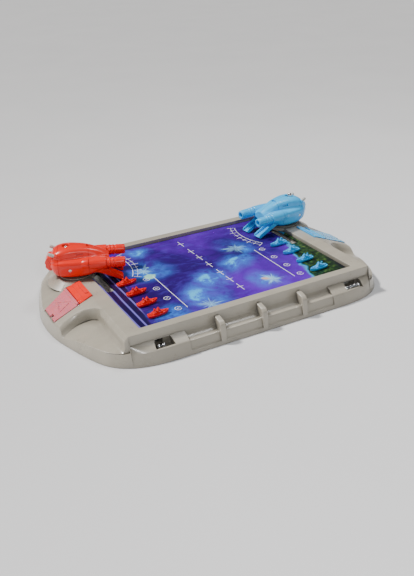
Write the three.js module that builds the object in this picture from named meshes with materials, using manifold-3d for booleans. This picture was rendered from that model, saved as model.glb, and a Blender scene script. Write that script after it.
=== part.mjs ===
// Two player sea battle shooting game: a tray-like case with a printed board,
// a turning ball gun at each end, ships to knock over and spare-part hatches.
// Units are millimetres, +Z is up, the red end is at -X, players face along X.
import * as THREE from "three";
import { ConvexGeometry } from "three/addons/geometries/ConvexGeometry.js";
import { mergeVertices } from "three/addons/utils/BufferGeometryUtils.js";
import Module from "manifold-3d";

const wasm = await Module();
wasm.setup();

// ---------------------------------------------------------------- dimensions
const GAP = 0.3;                    // clearance between neighbouring pieces
const RIM = { x: 187.5, y: 132.5, z: 39 };       // outer top edge of the rim
const FIELD = { x: 166, y: 119, floor: 31.3, top: 33.5 };   // board recess
const EDGE_Z = 18.2;                // height of the skirt's upper edge
const LEDGE_Z = 26;                 // ledge height at the rim wall
const RIBS = [-64, 0, 64];          // x of the handle ribs on the long sides
const RIB_W = 7.5;
const PIVOT = { x: 180, y: 70 };    // turret axes (mirrored)
const BOSS_R = 27;
const YAW = { red: -22.5, blue: -6 };            // rest aim, degrees from straight ahead
const SHIP_X = 128;
const SHIP_Y = [8, -26, -60, -94];
const BALL_R = 3.5;
const SLOPE = 21 / 59.5;            // fall of the end decks

// right half of the footprint, front to back
const FOOT = [[112, -153], [140, -152.6], [161, -150.5], [178, -146.5], [192, -140], [204, -131.5],
  [214, -120], [222, -105], [230, -85], [237, -64], [243, -44], [248, -22], [250, 4], [248.5, 32],
  [243, 58], [237, 80], [231, 99], [224, 117], [213, 133], [199, 143.5], [180, 150], [160, 152.4],
  [135, 153]];

// ------------------------------------------------------------------- helpers
const rad = (d) => (d * Math.PI) / 180;
const lerp = (a, b, t) => a + (b - a) * t;
const deckZ = (x) => RIM.z - SLOPE * (Math.abs(x) - RIM.x);

function solid(geometry) {
  let g = geometry.clone();
  for (const name of Object.keys(g.attributes)) if (name !== "position") g.deleteAttribute(name);
  g = mergeVertices(g, 1e-4);
  let verts = Float32Array.from(g.attributes.position.array);
  let tris = Uint32Array.from(g.index.array);
  let vol = 0;
  const P = (i) => [verts[3 * i], verts[3 * i + 1], verts[3 * i + 2]];
  for (let i = 0; i < tris.length; i += 3) {
    const [a, b, c] = [P(tris[i]), P(tris[i + 1]), P(tris[i + 2])];
    vol += a[0] * (b[1] * c[2] - b[2] * c[1]) - a[1] * (b[0] * c[2] - b[2] * c[0])
      + a[2] * (b[0] * c[1] - b[1] * c[0]);
  }
  if (vol < 0) for (let i = 0; i < tris.length; i += 3) {
    const t = tris[i + 1]; tris[i + 1] = tris[i + 2]; tris[i + 2] = t;
  }
  const mesh = new wasm.Mesh({ numProp: 3, vertProperties: verts, triVerts: tris });
  mesh.merge();
  return new wasm.Manifold(mesh);
}

const join = (list) => wasm.Manifold.union(list.flat());
const cut = (body, ...tools) => wasm.Manifold.difference([body, ...tools.flat()]);
const common = (a, b) => wasm.Manifold.intersection([a, b]);

function box(x0, x1, y0, y1, z0, z1) {
  const g = new THREE.BoxGeometry(Math.abs(x1 - x0), Math.abs(y1 - y0), Math.abs(z1 - z0));
  g.translate((x0 + x1) / 2, (y0 + y1) / 2, (z0 + z1) / 2);
  return solid(g);
}

// straight cylinder or cone between two points
function rod(a, b, r0, r1 = r0, seg = 32) {
  const A = new THREE.Vector3(...a), B = new THREE.Vector3(...b);
  const g = new THREE.CylinderGeometry(r1, r0, A.distanceTo(B), seg);
  const dir = B.clone().sub(A).normalize();
  g.applyQuaternion(new THREE.Quaternion().setFromUnitVectors(new THREE.Vector3(0, 1, 0), dir));
  const m = A.clone().add(B).multiplyScalar(0.5);
  g.translate(m.x, m.y, m.z);
  return solid(g);
}

// solid of revolution: profile [[radius, height]...] about the line from `at` along `dir`
function turned(profile, at, dir, seg = 32) {
  const g = new THREE.LatheGeometry(profile.map(([r, h]) => new THREE.Vector2(r, h)), seg);
  g.applyQuaternion(new THREE.Quaternion().setFromUnitVectors(
    new THREE.Vector3(0, 1, 0), new THREE.Vector3(...dir).normalize()));
  g.translate(...at);
  return solid(g);
}

function hull(points) {
  return solid(new ConvexGeometry(points.map((p) => new THREE.Vector3(...p))));
}

// prism: polygon in the two axes other than `axis`, from a0 to a1 along `axis`
function prism(axis, poly, a0, a1) {
  const g = new THREE.ExtrudeGeometry(new THREE.Shape(poly.map(([p, q]) => new THREE.Vector2(p, q))),
    { depth: a1 - a0, bevelEnabled: false });
  const pos = g.attributes.position;
  for (let i = 0; i < pos.count; i++) {
    const [p, q, d] = [pos.getX(i), pos.getY(i), pos.getZ(i) + a0];
    if (axis === "x") pos.setXYZ(i, d, p, q);
    if (axis === "y") pos.setXYZ(i, p, d, q);
    if (axis === "z") pos.setXYZ(i, p, q, d);
  }
  return solid(g);
}

// skin over closed rings of equal length; both ends are capped in the `flat` plane
function loft(rings, flat = "xy") {
  const n = rings[0].length, pts = rings.flat(), idx = [];
  for (let k = 0; k + 1 < rings.length; k++) for (let i = 0; i < n; i++) {
    const a = k * n + i, b = k * n + (i + 1) % n;
    idx.push(a, b, b + n, a, b + n, a + n);
  }
  const pick = { xy: [0, 1], yz: [1, 2] }[flat];
  const cap = (k, flip) => {
    // a hair of waviness keeps points on straight runs in the triangulation
    const ring = rings[k].map((p, i) => new THREE.Vector2(p[pick[0]] + 1e-4 * Math.sin(i * 12.9),
      p[pick[1]] + 1e-4 * Math.cos(i * 7.3)));
    for (const [a, b, c] of THREE.ShapeUtils.triangulateShape(ring, [])) {
      if (flip) idx.push(k * n + a, k * n + c, k * n + b);
      else idx.push(k * n + a, k * n + b, k * n + c);
    }
  };
  cap(0, true);
  cap(rings.length - 1, false);
  if (THREE.ShapeUtils.isClockWise(rings[0].map((p) => new THREE.Vector2(p[pick[0]], p[pick[1]])))) {
    const side = 6 * n * (rings.length - 1);
    for (let i = 0; i < side; i += 3) [idx[i + 1], idx[i + 2]] = [idx[i + 2], idx[i + 1]];
  }
  const g = new THREE.BufferGeometry();
  g.setAttribute("position", new THREE.Float32BufferAttribute(pts.flat(), 3));
  g.setIndex(idx);
  return solid(g);
}

const ball = (x, y, z, r = BALL_R) => {
  const g = new THREE.SphereGeometry(r, 12, 7);
  g.rotateX(Math.PI / 2);
  g.translate(x, y, z);
  return solid(g);
};

// footprint of the whole case, moved inwards by d
function outline(d) {
  const full = [...FOOT, ...FOOT.slice().reverse().map(([x, y]) => [-x, y])];
  const n = full.length;
  return full.map((p, i) => {
    const a = full[(i + n - 1) % n], b = full[(i + 1) % n];
    const t = [b[0] - a[0], b[1] - a[1]], l = Math.hypot(...t);
    return [p[0] - (t[1] / l) * d, p[1] + (t[0] / l) * d];
  });
}
const ringAt = (d, z) => outline(d).map(([x, y]) => [x, y, z]);
const endOnly = (ring, s, from = 186.5) => ring.filter(([x]) => x * s > from);

// ---------------------------------------------------------------- frame shell
function deckBody(s) {       // sloping deck of one end
  const y = RIM.y;
  return hull([...endOnly(ringAt(0, 0), s), ...endOnly(ringAt(4.6, EDGE_Z - 2), s),
    ...endOnly(ringAt(6.2, EDGE_Z), s), ...endOnly(ringAt(9.5, EDGE_Z + 1.1), s),
    [s * 187, -y, 2], [s * 187, y, 2], [s * 187, -y, RIM.z], [s * 187, y, RIM.z],
    [s * RIM.x, -y, RIM.z], [s * RIM.x, y, RIM.z]]);
}

// concave bowl in front of each end deck
function scoop(s) {
  const wall = [[-131.5, 5, 17.5], [-124, 14, 17], [-110, 25, 16.8], [-92, 27, 16.3], [-76, 18, 17.3],
    [-62, 9, 18.6], [-53, 4, 19.3]];
  const back = [ // ridge x, y then foot x, y, z
    [189.5, -47, 192.5, -43, 19.2], [194, -38, 197, -36, 18], [202, -30, 204, -31.5, 16.2],
    [212, -25, 215, -31.5, 14], [222, -23, 226, -35, 11.4], [233, -23.5, 236, -40, 8.8],
    [245, -26, 247, -48, 6.5], [262, -30, 262, -58, 5]];
  const out = [[264, -75, 8.5], [258, -98, 14], [248, -118, 16.6], [232, -138, 17.2], [214, -154, 17.4],
    [187, -166, 17.6], [187, -133.5, 17.6]];
  const ribs = [];
  for (const [y, r, z] of wall) ribs.push([[187, y, 60], [187, y, RIM.z], [191.5, y, 33],
    [191.5 + 0.05 * r, y, lerp(33, z, 0.5)], [191.5 + 0.22 * r, y, lerp(33, z, 0.82)],
    [191.5 + 0.6 * r, y, lerp(33, z, 0.96)], [191.5 + r, y, z]]);
  for (const [qx, qy, px, py, pz] of back) {
    const top = deckZ(qx) - 0.4;
    const at = (t, k) => [lerp(qx, px, t), lerp(qy, py, t), lerp(top, pz, k)];
    ribs.push([[qx, qy, 60], [qx, qy, top], at(0.22, 0.12), at(0.45, 0.4), at(0.62, 0.7), at(0.8, 0.92),
      at(1, 1)]);
  }
  for (const [x, y, z] of out) ribs.push([[x, y, 60], [x, y, 52], [x, y, 45], [x, y, 38], [x, y, 31],
    [x, y, 24], [x, y, z]]);
  const rings = [];
  for (let k = 6; k >= 0; k--) rings.push(ribs.map((r) => [s * r[k][0], r[k][1], r[k][2]]));
  return loft(rings);
}

const bayProfile = (s) => [[132.5, 26], [146.2, 17.4], [147.2, 15.8], [149.6, 6], [152.4, 4.4], [162, 4.4],
  [162, 42], [132.5, 42]].map(([y, z]) => [s * y, z]);
const ribProfile = (s) => [[130, 33.6], [133.2, 33.6], [145.8, 30.6], [149.6, 27], [150.6, 17], [152.9, 0.2],
  [130, 0.2]].map(([y, z]) => [s * y, z]);

function bays(s) {
  const stops = [-111, ...RIBS, 114], list = [];
  for (let i = 0; i + 1 < stops.length; i++) {
    const a = stops[i] + (i ? RIB_W / 2 : 0), b = stops[i + 1] - (i < stops.length - 2 ? RIB_W / 2 : 0);
    list.push(prism("x", bayProfile(s), a, b));
  }
  return list;
}

// ball windows on the front edge, and the passage from each return gutter into its tray
const WINDOWS = [{ x0: -157, x1: -129, in0: -156.5, in1: -141 },
  { x0: 139, x1: 171, in0: 145, in1: 165 }];
const TRAY_Z = 13.4;
const SILL_Z = 17.9;                 // front sill of the windows
// hatch outline on the deck: [distance from the middle, y] corners of lid and block
const LID = [[205.4, -10.7], [205.4, 43.7], [242.6, 24], [242.6, -14.7]];
const LID_WELL = [[205.1, -11.1], [205.1, 44.9], [244.1, 24.6], [244.1, -15.2]];   // room for the lid to swing
const BLOCK = [[185.6, -9], [185.6, 39.3], [204, 44.2], [204, -10.5]];
const HINGE = { x: 206.6, y0: -9.5, y1: 42.5 };
const hingeZ = deckZ(HINGE.x) - 0.4;
// rod along the hinge line, `over` longer than the lid's knuckle at each end
const hingeRod = (s, over, r, seg = 20) => rod([s * HINGE.x, HINGE.y0 - over, hingeZ],
  [s * HINGE.x, HINGE.y1 + over, hingeZ], r, r, seg);
const grow = (poly, d) => {
  const cx = poly.reduce((a, p) => a + p[0], 0) / poly.length;
  const cy = poly.reduce((a, p) => a + p[1], 0) / poly.length;
  return poly.map(([x, y]) => [x + Math.sign(x - cx) * d, y + Math.sign(y - cy) * d]);
};
// slab following the deck's slope, `lo` and `hi` measured from the deck surface
function slab(s, poly, lo, hi) {
  const ring = (h) => poly.map(([x, y]) => [s * x, y, deckZ(x) + h]);
  return loft([ring(lo), ring(hi)]);
}
const WALL = 2.5;                   // thickness round trays and stores
const STORE = { x0: 209, x1: 239, y0: -11, y1: 22, floor: 6 };

function frameShell() {
  const outer = [
    hull([...ringAt(0, 0), ...ringAt(4.6, EDGE_Z - 2), ...ringAt(5.6, EDGE_Z - 0.3),
      ...ringAt(6.8, EDGE_Z + 0.4),
      [-RIM.x, -RIM.y, LEDGE_Z], [RIM.x, -RIM.y, LEDGE_Z], [-RIM.x, RIM.y, LEDGE_Z], [RIM.x, RIM.y, LEDGE_Z]]),
    box(-RIM.x, RIM.x, -RIM.y, RIM.y, 1, RIM.z), deckBody(1), deckBody(-1)];
  let body = cut(join(outer), bays(1), bays(-1));
  const ribs = RIBS.flatMap((x) => [-1, 1].map((s) => prism("x", ribProfile(s), x - RIB_W / 2, x + RIB_W / 2)));
  body = join([body, ribs]);
  body = cut(body, scoop(1), scoop(-1));
  // hollow underside
  const hollow = [
    hull([...ringAt(8, -1), ...ringAt(10.5, 10),
      [-184, -129, 21], [184, -129, 21], [-184, 129, 21], [184, 129, 21]]),
    box(-184.5, 184.5, -129.5, 129.5, -1, 28.6)];
  for (const s of [-1, 1]) {
    const rear = [...ringAt(8, -1), ...ringAt(13, 10)].filter(([x, y]) => x * s > 176 && y > -8);
    hollow.push(hull([...rear, [s * 178, 128, 35.5], [s * 178, 0, 35.5], [s * 187, 0, 35.5], [s * 187, 126, 35.5]]));
  }
  const keep = [scoopBacking(1), scoopBacking(-1)];
  for (const w of WINDOWS) keep.push(box(w.x0 - WALL, w.x1 + WALL, -149, -121, 6, 29));
  for (const s of [-1, 1]) {
    keep.push(box(s * (STORE.x0 - WALL), s * (STORE.x1 + WALL), STORE.y0 - WALL, STORE.y1 + WALL,
      STORE.floor - 2, 40));
    keep.push(rod([s * PIVOT.x, PIVOT.y, 14], [s * PIVOT.x, PIVOT.y, 40], 13));
    for (const p of SCREWS) keep.push(rod([s * p[0], p[1], 3.4], [s * p[0], p[1], 30], 4.5, 4.5, 20));
  }
  const inside = cut(join(hollow), keep);
  body = cut(body, inside);
  // turret bosses, proud of the sloping deck and overhanging the board
  const bosses = [-1, 1].map((s) => [
    rod([s * PIVOT.x, PIVOT.y, 34.2], [s * PIVOT.x, PIVOT.y, RIM.z], BOSS_R, BOSS_R, 48),
    common(rod([s * PIVOT.x, PIVOT.y, 22], [s * PIVOT.x, PIVOT.y, RIM.z], 56, BOSS_R, 48),
      cut(box(s * 186.5, s * 225, 30, 126, 30, 40), inside))]).flat();
  const recess = box(-FIELD.x, FIELD.x, -FIELD.y, FIELD.y, FIELD.floor, 45);
  const fieldHole = box(-(FIELD.x - 4), FIELD.x - 4, -(FIELD.y - 4), FIELD.y - 4, 25, 45);
  body = join([cut(body, recess, fieldHole), bosses].flat());
  const holes = [];
  for (const w of WINDOWS) {
    holes.push(hull([[w.x0 + 1, -144.4, TRAY_Z], [w.x1 - 1, -144.4, TRAY_Z], [w.x0 + 1, -144.4, 24],
      [w.x1 - 1, -144.4, 24], [w.x0 + 1, -131, TRAY_Z], [w.x1 - 1, -131, TRAY_Z], [w.x0 + 3, -131, 25.5],
      [w.x1 - 3, -131, 25.5]]));
    holes.push(box(w.in0, w.in1, -134, -118, TRAY_Z + 0.4, 25), box(w.x0 + 1, w.x1 - 1, -156, -144, SILL_Z, 24));
  }
  for (const s of [-1, 1]) {
    holes.push(slab(s, LID_WELL, -2.6, 12), slab(s, grow(BLOCK, GAP), -2.6, 12));
    holes.push(slab(s, [[203.5, -10.9], [203.5, 43.9], [206, 43.9], [206, -10.9]], -2.6, 12));
    holes.push(box(s * STORE.x0, s * STORE.x1, STORE.y0, STORE.y1, STORE.floor, 40));
    holes.push(hingeRod(s, 4, 1.1), hingeRod(s, 0.4, 3.2, 24));
    holes.push(rod([s * PIVOT.x, PIVOT.y, 10], [s * PIVOT.x, PIVOT.y, 45], 9.2, 9.2, 40));
    for (const p of SCREWS) holes.push(rod([s * p[0], p[1], 1], [s * p[0], p[1], 14], 1.7, 1.7, 16));
  }
  return cut(body, holes);
}

// keeps material behind the bowls so the wall there stays closed
function scoopBacking(s) {
  return hull([[s * 181, -140, -2], [s * 181, -20, -2], [s * 181, -20, 40], [s * 181, -140, 40],
    [s * 262, -160, -2], [s * 262, -20, -2], [s * 262, -20, 40], [s * 262, -160, 40]]);
}
const SCREWS = [[110, 122.5], [110, -122.5]];

function baseCover() {
  let plate = loft([ringAt(9, 0), ringAt(9.5, 2.4)]);
  for (const s of [-1, 1]) plate = cut(plate, hull([[s * 180.6, -170, -1], [s * 180.6, -19.6, -1],
    [s * 270, -19.6, -1], [s * 270, -170, -1], [s * 180.6, -170, 5], [s * 180.6, -19.6, 5], [s * 270, -19.6, 5],
    [s * 270, -170, 5]]));
  const holes = [];
  for (const s of [-1, 1]) for (const p of SCREWS) {
    holes.push(rod([s * p[0], p[1], -1], [s * p[0], p[1], 5], 1.9, 1.9, 16));
    holes.push(rod([s * p[0], p[1], -1], [s * p[0], p[1], 1.6], 3.4, 3.4, 24));
  }
  return cut(plate, holes);
}

const SLOT = { x0: 149, x1: 161, y0: 0, y1: 66 };   // ball return slot in the board
function board() {
  const g = 0.4;
  let b = box(-(FIELD.x - g), FIELD.x - g, -(FIELD.y - g), FIELD.y - g, FIELD.floor + 0.05, FIELD.top);
  for (const s of [-1, 1]) b = cut(b, box(s * SLOT.x0, s * SLOT.x1, SLOT.y0, SLOT.y1, 25, 40));
  return b;
}

// sloping channel below each return slot, down to the ball window
function gutter(s) {
  const y0 = -126.5, y1 = 70, f0 = TRAY_Z + 0.8, f1 = 22;
  const side = (lo, hi) => [[y0, f0 + lo], [y1, f1 + lo], [y1, f1 + hi], [y0, f0 + hi]];
  const body = prism("x", side(-2, 8), Math.min(s * 147, s * 163), Math.max(s * 147, s * 163));
  const inner = prism("x", [[y0 - 5, f0 - 0.3], [y1 - 2, f1 - 0.1], [y1 - 2, f1 + 15], [y0 - 5, f0 + 15]],
    Math.min(s * 149, s * 161), Math.max(s * 149, s * 161));
  return common(cut(body, inner), box(-170, 170, y0 + 5.9, y1 + 1, 3, 28.2));
}

function coverScrew(x, y) {
  return turned([[0, 0.35], [3, 0.35], [3, 1.5], [1.45, 1.6], [1.45, 12.5], [0.4, 13.5], [0, 13.5]],
    [x, y, 0], [0, 0, 1], 10);
}

// -------------------------------------------------------------------- hatches
function hatchLid(s) {
  const plate = slab(s, LID, -2.2, 0.5);
  const tri = slab(s, [[232, -4], [211, 6], [225, 22]], 0.1, 2);
  const triIn = slab(s, [[229.5, -1.5], [214, 6.2], [224.4, 18]], 0, 3);
  const notch = slab(s, [[238.5, -4], [244, -4], [244, 3], [238.5, 3]], -4, 3);
  const knuckle = hingeRod(s, 0, 2.2, 24);
  const relief = slab(s, [[204, -12], [204, 46], [207.2, 46], [207.2, -12]], -4, 3);
  const web = slab(s, [[206, HINGE.y0], [206, HINGE.y1], [210, HINGE.y1], [210, HINGE.y0]], -2, 0.5);
  const cropped = common(knuckle, slab(s, [[200, -20], [200, 60], [212, 60], [212, -20]], -6, 1.9));
  return cut(join([cut(plate, cut(tri, triIn), notch, relief), cropped, common(web, plate)]),
    hingeRod(s, 20, 0.95));
}
function hatchBlock(s) {
  const plate = slab(s, BLOCK, -2.2, 1.6);
  const grip = slab(s, [[188, 0], [188, 32], [191.5, 30], [191.5, 2]], 1, 3.2);
  const step = slab(s, [[197, -12], [197, 48], [206, 48], [206, -12]], 0.8, 6);
  return cut(join([cut(plate, step), grip]), hingeRod(s, 20, 2.7, 24));
}
const hatchPin = (s) => hingeRod(s, 3.6, 0.75, 16);

// ---------------------------------------------------------------------- ships
function ship() {      // keel on z = 0, bow towards +X, 30 long
  const sec = (x, w, h, k) => [[x, -w, h], [x, -w * 0.75, k], [x, w * 0.75, k], [x, w, h]];
  const hullBody = loft([sec(-15, 2.6, 4.2, 1.2), sec(-13, 4.2, 4.2, 0), sec(-4, 5, 4.2, 0), sec(6, 4.6, 4.4, 0),
    sec(12, 2.4, 4.9, 0.3), sec(15, 0.5, 5.4, 1.8)], "yz");
  const house = [box(-8, 5, -3, 3, 4, 6.4), box(-6, 2.5, -2.3, 2.3, 6.2, 8.2), box(-1.5, 1.5, -1.3, 1.3, 8, 10.4),
    rod([-4.5, 0, 8], [-4.8, 0, 10.8], 1.2, 1, 8), rod([0, 0, 10.2], [0, 0, 12], 0.45, 0.35, 6),
    rod([8.2, 0, 4.2], [8.2, 0, 5.9], 1.7, 1.5, 8), rod([-11, 0, 4], [-11, 0, 5.6], 1.6, 1.4, 8),
    rod([8.5, 0, 5.3], [12.6, 0, 5.9], 0.5, 0.5, 6)];
  return join([hullBody, ...house]);
}

// ----------------------------------------------------------------------- guns
// local frame: u forward (+X), v to the left (+Y), turret axis at the origin
const BARREL = { v: 22, z: 62.5 };
const AXIS = { v: 14.5, u: -34, z: 78, angle: 25 };       // plungers' upper ends and their dip
const along = (d, side) => [AXIS.u + d * Math.cos(rad(AXIS.angle)), side * AXIS.v,
  AXIS.z - d * Math.sin(rad(AXIS.angle))];
const STATIONS = [ // u, bottom, top, flank half width, dome half width, shoulder height
  [-33, 54, 69.5, 15, 12, 62], [-29, 47.5, 76.5, 20.5, 17.5, 65], [-24, 44, 80.4, 24, 19.4, 66.6],
  [-16, 42.2, 83, 26.2, 19.6, 67.2], [-4, 41.5, 84, 27.2, 18, 67.6], [8, 41.8, 83.4, 27.6, 15.6, 67.8],
  [18, 43, 82, 27.8, 14, 67.8], [26, 45, 79.8, 27.8, 13, 67.6], [33, 47.4, 77.2, 27.6, 12, 67.2],
  [42, 51.6, 73, 27, 10, 66], [49, 55, 68.6, 25.4, 8, 63.4]];
function section([u, zb, zt, wf, wd, zs]) {
  const half = [[wf * 0.5, zb], [wf * 0.76, zb + 1.4], [wf * 0.93, Math.min(zb + 5.6, zs - 5)],
    [wf, Math.min(Math.max(zb + 7, zs - 8), zs - 3.4)],
    [wf - 0.7, zs - 2.4], [wf - 3.2, zs], [wd + 1, zs + 1.3], [wd, zs + 3], [wd - 1.2, Math.max(zt - 5, zs + 3.6)],
    [wd * 0.68, Math.max(zt - 1.4, zs + 4.4)], [wd * 0.25, Math.max(zt, zs + 5)]];
  const ring = [...half, ...half.slice().reverse().map(([v, z]) => [-v, z])];
  return ring.map(([v, z]) => [u, v, z]);
}
const TAIL = [[-40, 55], [-40.6, 63.5], [-36.5, 70.5], [-27, 70.5], [-27, 51.5], [-35.5, 51.5]];

function gunBody() {
  const pods = [-1, 1].map((s) => turned([[0, 8], [4.5, 10], [7, 15], [7.8, 24], [8.2, 32], [8.2, 44.6],
    [7.6, 46], [0, 46]], [0, s * BARREL.v, BARREL.z], [1, 0, 0], 16));
  const bosses = [-1, 1].map((s) => rod(along(9.2, s), along(18, s), 4.7, 5.6, 18));
  return join([loft(STATIONS.map((st) => section(st)), "yz"), ...pods, ...bosses]);
}
function gunShell(side) {
  const tail = prism("y", TAIL.map(([u, z]) => [u + Math.sign(u + 33) * GAP, z + Math.sign(z - 61) * GAP]), -12.3, 12.3);
  const cuts = [tail,
    // mechanism space, bearing hole, chute mouth
    hull([[-21, -19, 46.4], [-21, 19, 46.4], [27, -21, 47.4], [27, 21, 47.4], [-21, -20, 57], [-21, 20, 57],
      [27, -22, 60], [27, 22, 60]]),
    rod([0, 0, 38], [0, 0, 48], 9.6, 9.6, 28),
    box(23, 60, -22.9, 22.9, 40, 56.8),
    // ball hopper with a bevelled mouth
    turned([[0, 74.5], [2, 74.5], [5, 77], [5, 82.4], [6.4, 84.5], [6.4, 90], [0, 90]], [-10, 0, 0], [0, 0, 1], 24),
    // slots in the dome
    ...[-1, 1].map((s) => hull([[4, s * 14.2, 73.4], [14, s * 12.6, 73.4], [4, s * 13.6, 77], [14, s * 12, 77],
      [4, s * 22, 74], [14, s * 22, 74], [4, s * 22, 78], [14, s * 22, 78]])),
    box(19, 23, -4, 4, 79.2, 90),
    // bores for the barrels and for the plungers
    ...[-1, 1].flatMap((s) => [rod([33, s * BARREL.v, BARREL.z], [60, s * BARREL.v, BARREL.z], 5.8, 5.8, 20),
      rod([46, s * BARREL.v, BARREL.z], [60, s * BARREL.v, BARREL.z], 8.2, 8.2, 20),
      rod(along(6, s), along(15, s), 2.8, 2.8, 16), rod(along(13, s), along(38, s), 3.9, 3.9, 16),
      rod(along(37, s), along(52, s), 2, 2, 10)]),
  ];
  let body = cut(gunBody(), cuts);
  const bossAt = (u, z) => common(rod([u, -23, z], [u, 23, z], 4.2, 4.2, 14), box(-40, 40, -23, 23, 30, 90));
  body = join([body, bossAt(-5, 55), bossAt(-14, 56)]);
  // screw holes: one from each side
  body = cut(body, rod([-5, -30, 55], [-5, 12, 55], 1.6, 1.6, 10), rod([-5, -30, 55], [-5, -25.6, 55], 3, 3, 16),
    rod([-14, -12, 56], [-14, 30, 56], 1.6, 1.6, 10), rod([-14, 24.8, 56], [-14, 30, 56], 3, 3, 16));
  const half = side > 0 ? box(-60, 80, GAP / 2, 40, 30, 95) : box(-60, 80, -40, -GAP / 2, 30, 95);
  return common(body, half);
}
function gunScrew(kind) {
  const [u, z, face, dir] = kind === "right" ? [-5, 55, -25.8, 1] : [-14, 56, 25, -1];
  return turned([[0, -1.9], [1.6, -1.9], [2.6, -1.1], [2.6, 0], [1.3, 0.1], [1.3, 31], [0.4, 32.5], [0, 32.5]],
    [u, face, z], [0, dir, 0], 10);
}
function gunBarrel(side) {
  return turned([[3.9, 34], [5.5, 34], [5.5, 46.3], [7, 46.4], [7, 48.5], [7.6, 49], [7.6, 51],
    [6.9, 51.6], [6.9, 53.4], [7.5, 54], [7.5, 56], [6.8, 56.6], [6.8, 58.4], [7.4, 59], [7.1, 69], [6.2, 72], [3.9, 72],
    [3.9, 34]], [0, side * BARREL.v, BARREL.z], [1, 0, 0], 16);
}
function gunChutes() {
  const parts = [];
  for (const s of [-1, 1]) {
    const outer = prism("y", [[30, 50], [36, 47.4], [65.6, 34.3], [67.6, 35.6], [67, 39.4], [37, 54.8], [30, 55.8]],
      s * 15 - 7, s * 15 + 7);
    const inner = prism("y", [[28, 52.8], [36.6, 49.2], [70, 35], [72, 44], [36, 62], [28, 62]], s * 15 - 5, s * 15 + 5);
    parts.push(cut(outer, inner));
  }
  return join([...parts, box(28.4, 33, -21.4, 21.4, 48.2, 52.4)]);
}
function gunTail() {
  const groove = prism("y", [[-44, 58], [-39.2, 58.6], [-39.2, 60.4], [-44, 61]], -20, 20);
  const trim = [-1, 1].map((s) => hull([[-42, s * 9, 40], [-42, s * 20, 40], [-34, s * 12.2, 40], [-34, s * 20, 40],
    [-42, s * 9, 90], [-42, s * 20, 90], [-34, s * 12.2, 90], [-34, s * 20, 90]]));
  return cut(prism("y", TAIL, -12, 12), groove, ...trim);
}
const dirDown = [Math.cos(rad(AXIS.angle)), 0, -Math.sin(rad(AXIS.angle))];
function gunPlunger(side) {
  return turned([[0, 0], [1.6, 0.1], [2.4, 0.9], [2.4, 13.2], [3.5, 13.5], [3.5, 15.2], [1.4, 15.3], [1.4, 39.6],
    [0.9, 40.4], [0, 40.4]], along(0, side), dirDown, 10);
}
function spring(side) {
  const turns = 5, per = 8, ring = 5, mean = 2.75, wire = 0.42, s0 = 16, s1 = 37.3, rings = [];
  const ax = new THREE.Vector3(...dirDown), e1 = new THREE.Vector3(0, 1, 0), e2 = ax.clone().cross(e1);
  const n = turns * per;
  for (let i = 0; i <= n; i++) {
    const a = (i / per) * 2 * Math.PI, s = lerp(s0, s1, i / n);
    const out = e1.clone().multiplyScalar(Math.cos(a)).addScaledVector(e2, Math.sin(a));
    const c = new THREE.Vector3(...along(s, side)).addScaledVector(out, mean);
    rings.push(Array.from({ length: ring }, (_, k) => {
      const b = (k / ring) * 2 * Math.PI;
      return c.clone().addScaledVector(out, wire * Math.cos(b)).addScaledVector(ax, wire * Math.sin(b)).toArray();
    }));
  }
  const idx = [], last = n * ring;
  for (let k = 0; k < n; k++) for (let i = 0; i < ring; i++) {
    const a = k * ring + i, b = k * ring + (i + 1) % ring;
    idx.push(a, b, b + ring, a, b + ring, a + ring);
  }
  for (let i = 1; i + 1 < ring; i++) idx.push(0, i + 1, i, last, last + i, last + i + 1);
  const g = new THREE.BufferGeometry();
  g.setAttribute("position", new THREE.Float32BufferAttribute(rings.flat(2), 3));
  g.setIndex(idx);
  return solid(g);
}
const turretSeat = () => turned([[9.3, 39.1], [23.6, 39.1], [24, 39.6], [24, 40.4], [23.6, 40.9], [9.3, 40.9],
  [9.3, 39.1]], [0, 0, 0], [0, 0, 1], 28);
const pivotPost = () => turned([[0, 12], [12, 12], [12, 13.6], [9, 13.7], [9, 47.7], [12.5, 47.7], [12.5, 49.2],
  [11, 50], [0, 50]], [0, 0, 0], [0, 0, 1], 18);

// ------------------------------------------------------------------- assembly
const root = new THREE.Group();
root.name = "sea_battle_game";
const paint = {
  frame: new THREE.MeshStandardMaterial({ color: 0xb6b1a2, roughness: 0.5, metalness: 0.05 }),
  board: new THREE.MeshStandardMaterial({ color: 0x2a1fa8, roughness: 0.35, metalness: 0 }),
  red: new THREE.MeshStandardMaterial({ color: 0xe62a12, roughness: 0.35, metalness: 0 }),
  blue: new THREE.MeshStandardMaterial({ color: 0x4bb9f2, roughness: 0.35, metalness: 0 }),
  redLid: new THREE.MeshStandardMaterial({ color: 0xff97a2, roughness: 0.25, metalness: 0 }),
  blueLid: new THREE.MeshStandardMaterial({ color: 0x6cc3f5, roughness: 0.25, metalness: 0 }),
  steel: new THREE.MeshStandardMaterial({ color: 0xc9ccd0, roughness: 0.18, metalness: 1 }),
  grey: new THREE.MeshStandardMaterial({ color: 0xc4c2bb, roughness: 0.45, metalness: 0.1 }),
};

function node(name, shape, material, place) {
  const m = shape.getMesh();
  const g = new THREE.BufferGeometry();
  g.setAttribute("position", new THREE.Float32BufferAttribute(Float32Array.from(m.vertProperties), m.numProp));
  g.setIndex(Array.from(m.triVerts));
  g.computeVertexNormals();
  const mesh = new THREE.Mesh(g, material);
  mesh.name = name;
  if (place) { mesh.position.set(...place.at); mesh.rotation.z = place.turn || 0; }
  root.add(mesh);
}

node("frame_shell", frameShell(), paint.frame);
node("base_cover", baseCover(), paint.frame);
node("playfield_board", board(), paint.board);
node("gutter_left", gutter(-1), paint.grey);
node("gutter_right", gutter(1), paint.grey);
[[-1, 1], [1, 1], [-1, -1], [1, -1]].forEach(([s, t], i) => {
  node(`cover_screw_${i + 1}`, coverScrew(s * SCREWS[0][0], t * SCREWS[0][1]), paint.steel);
});

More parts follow.
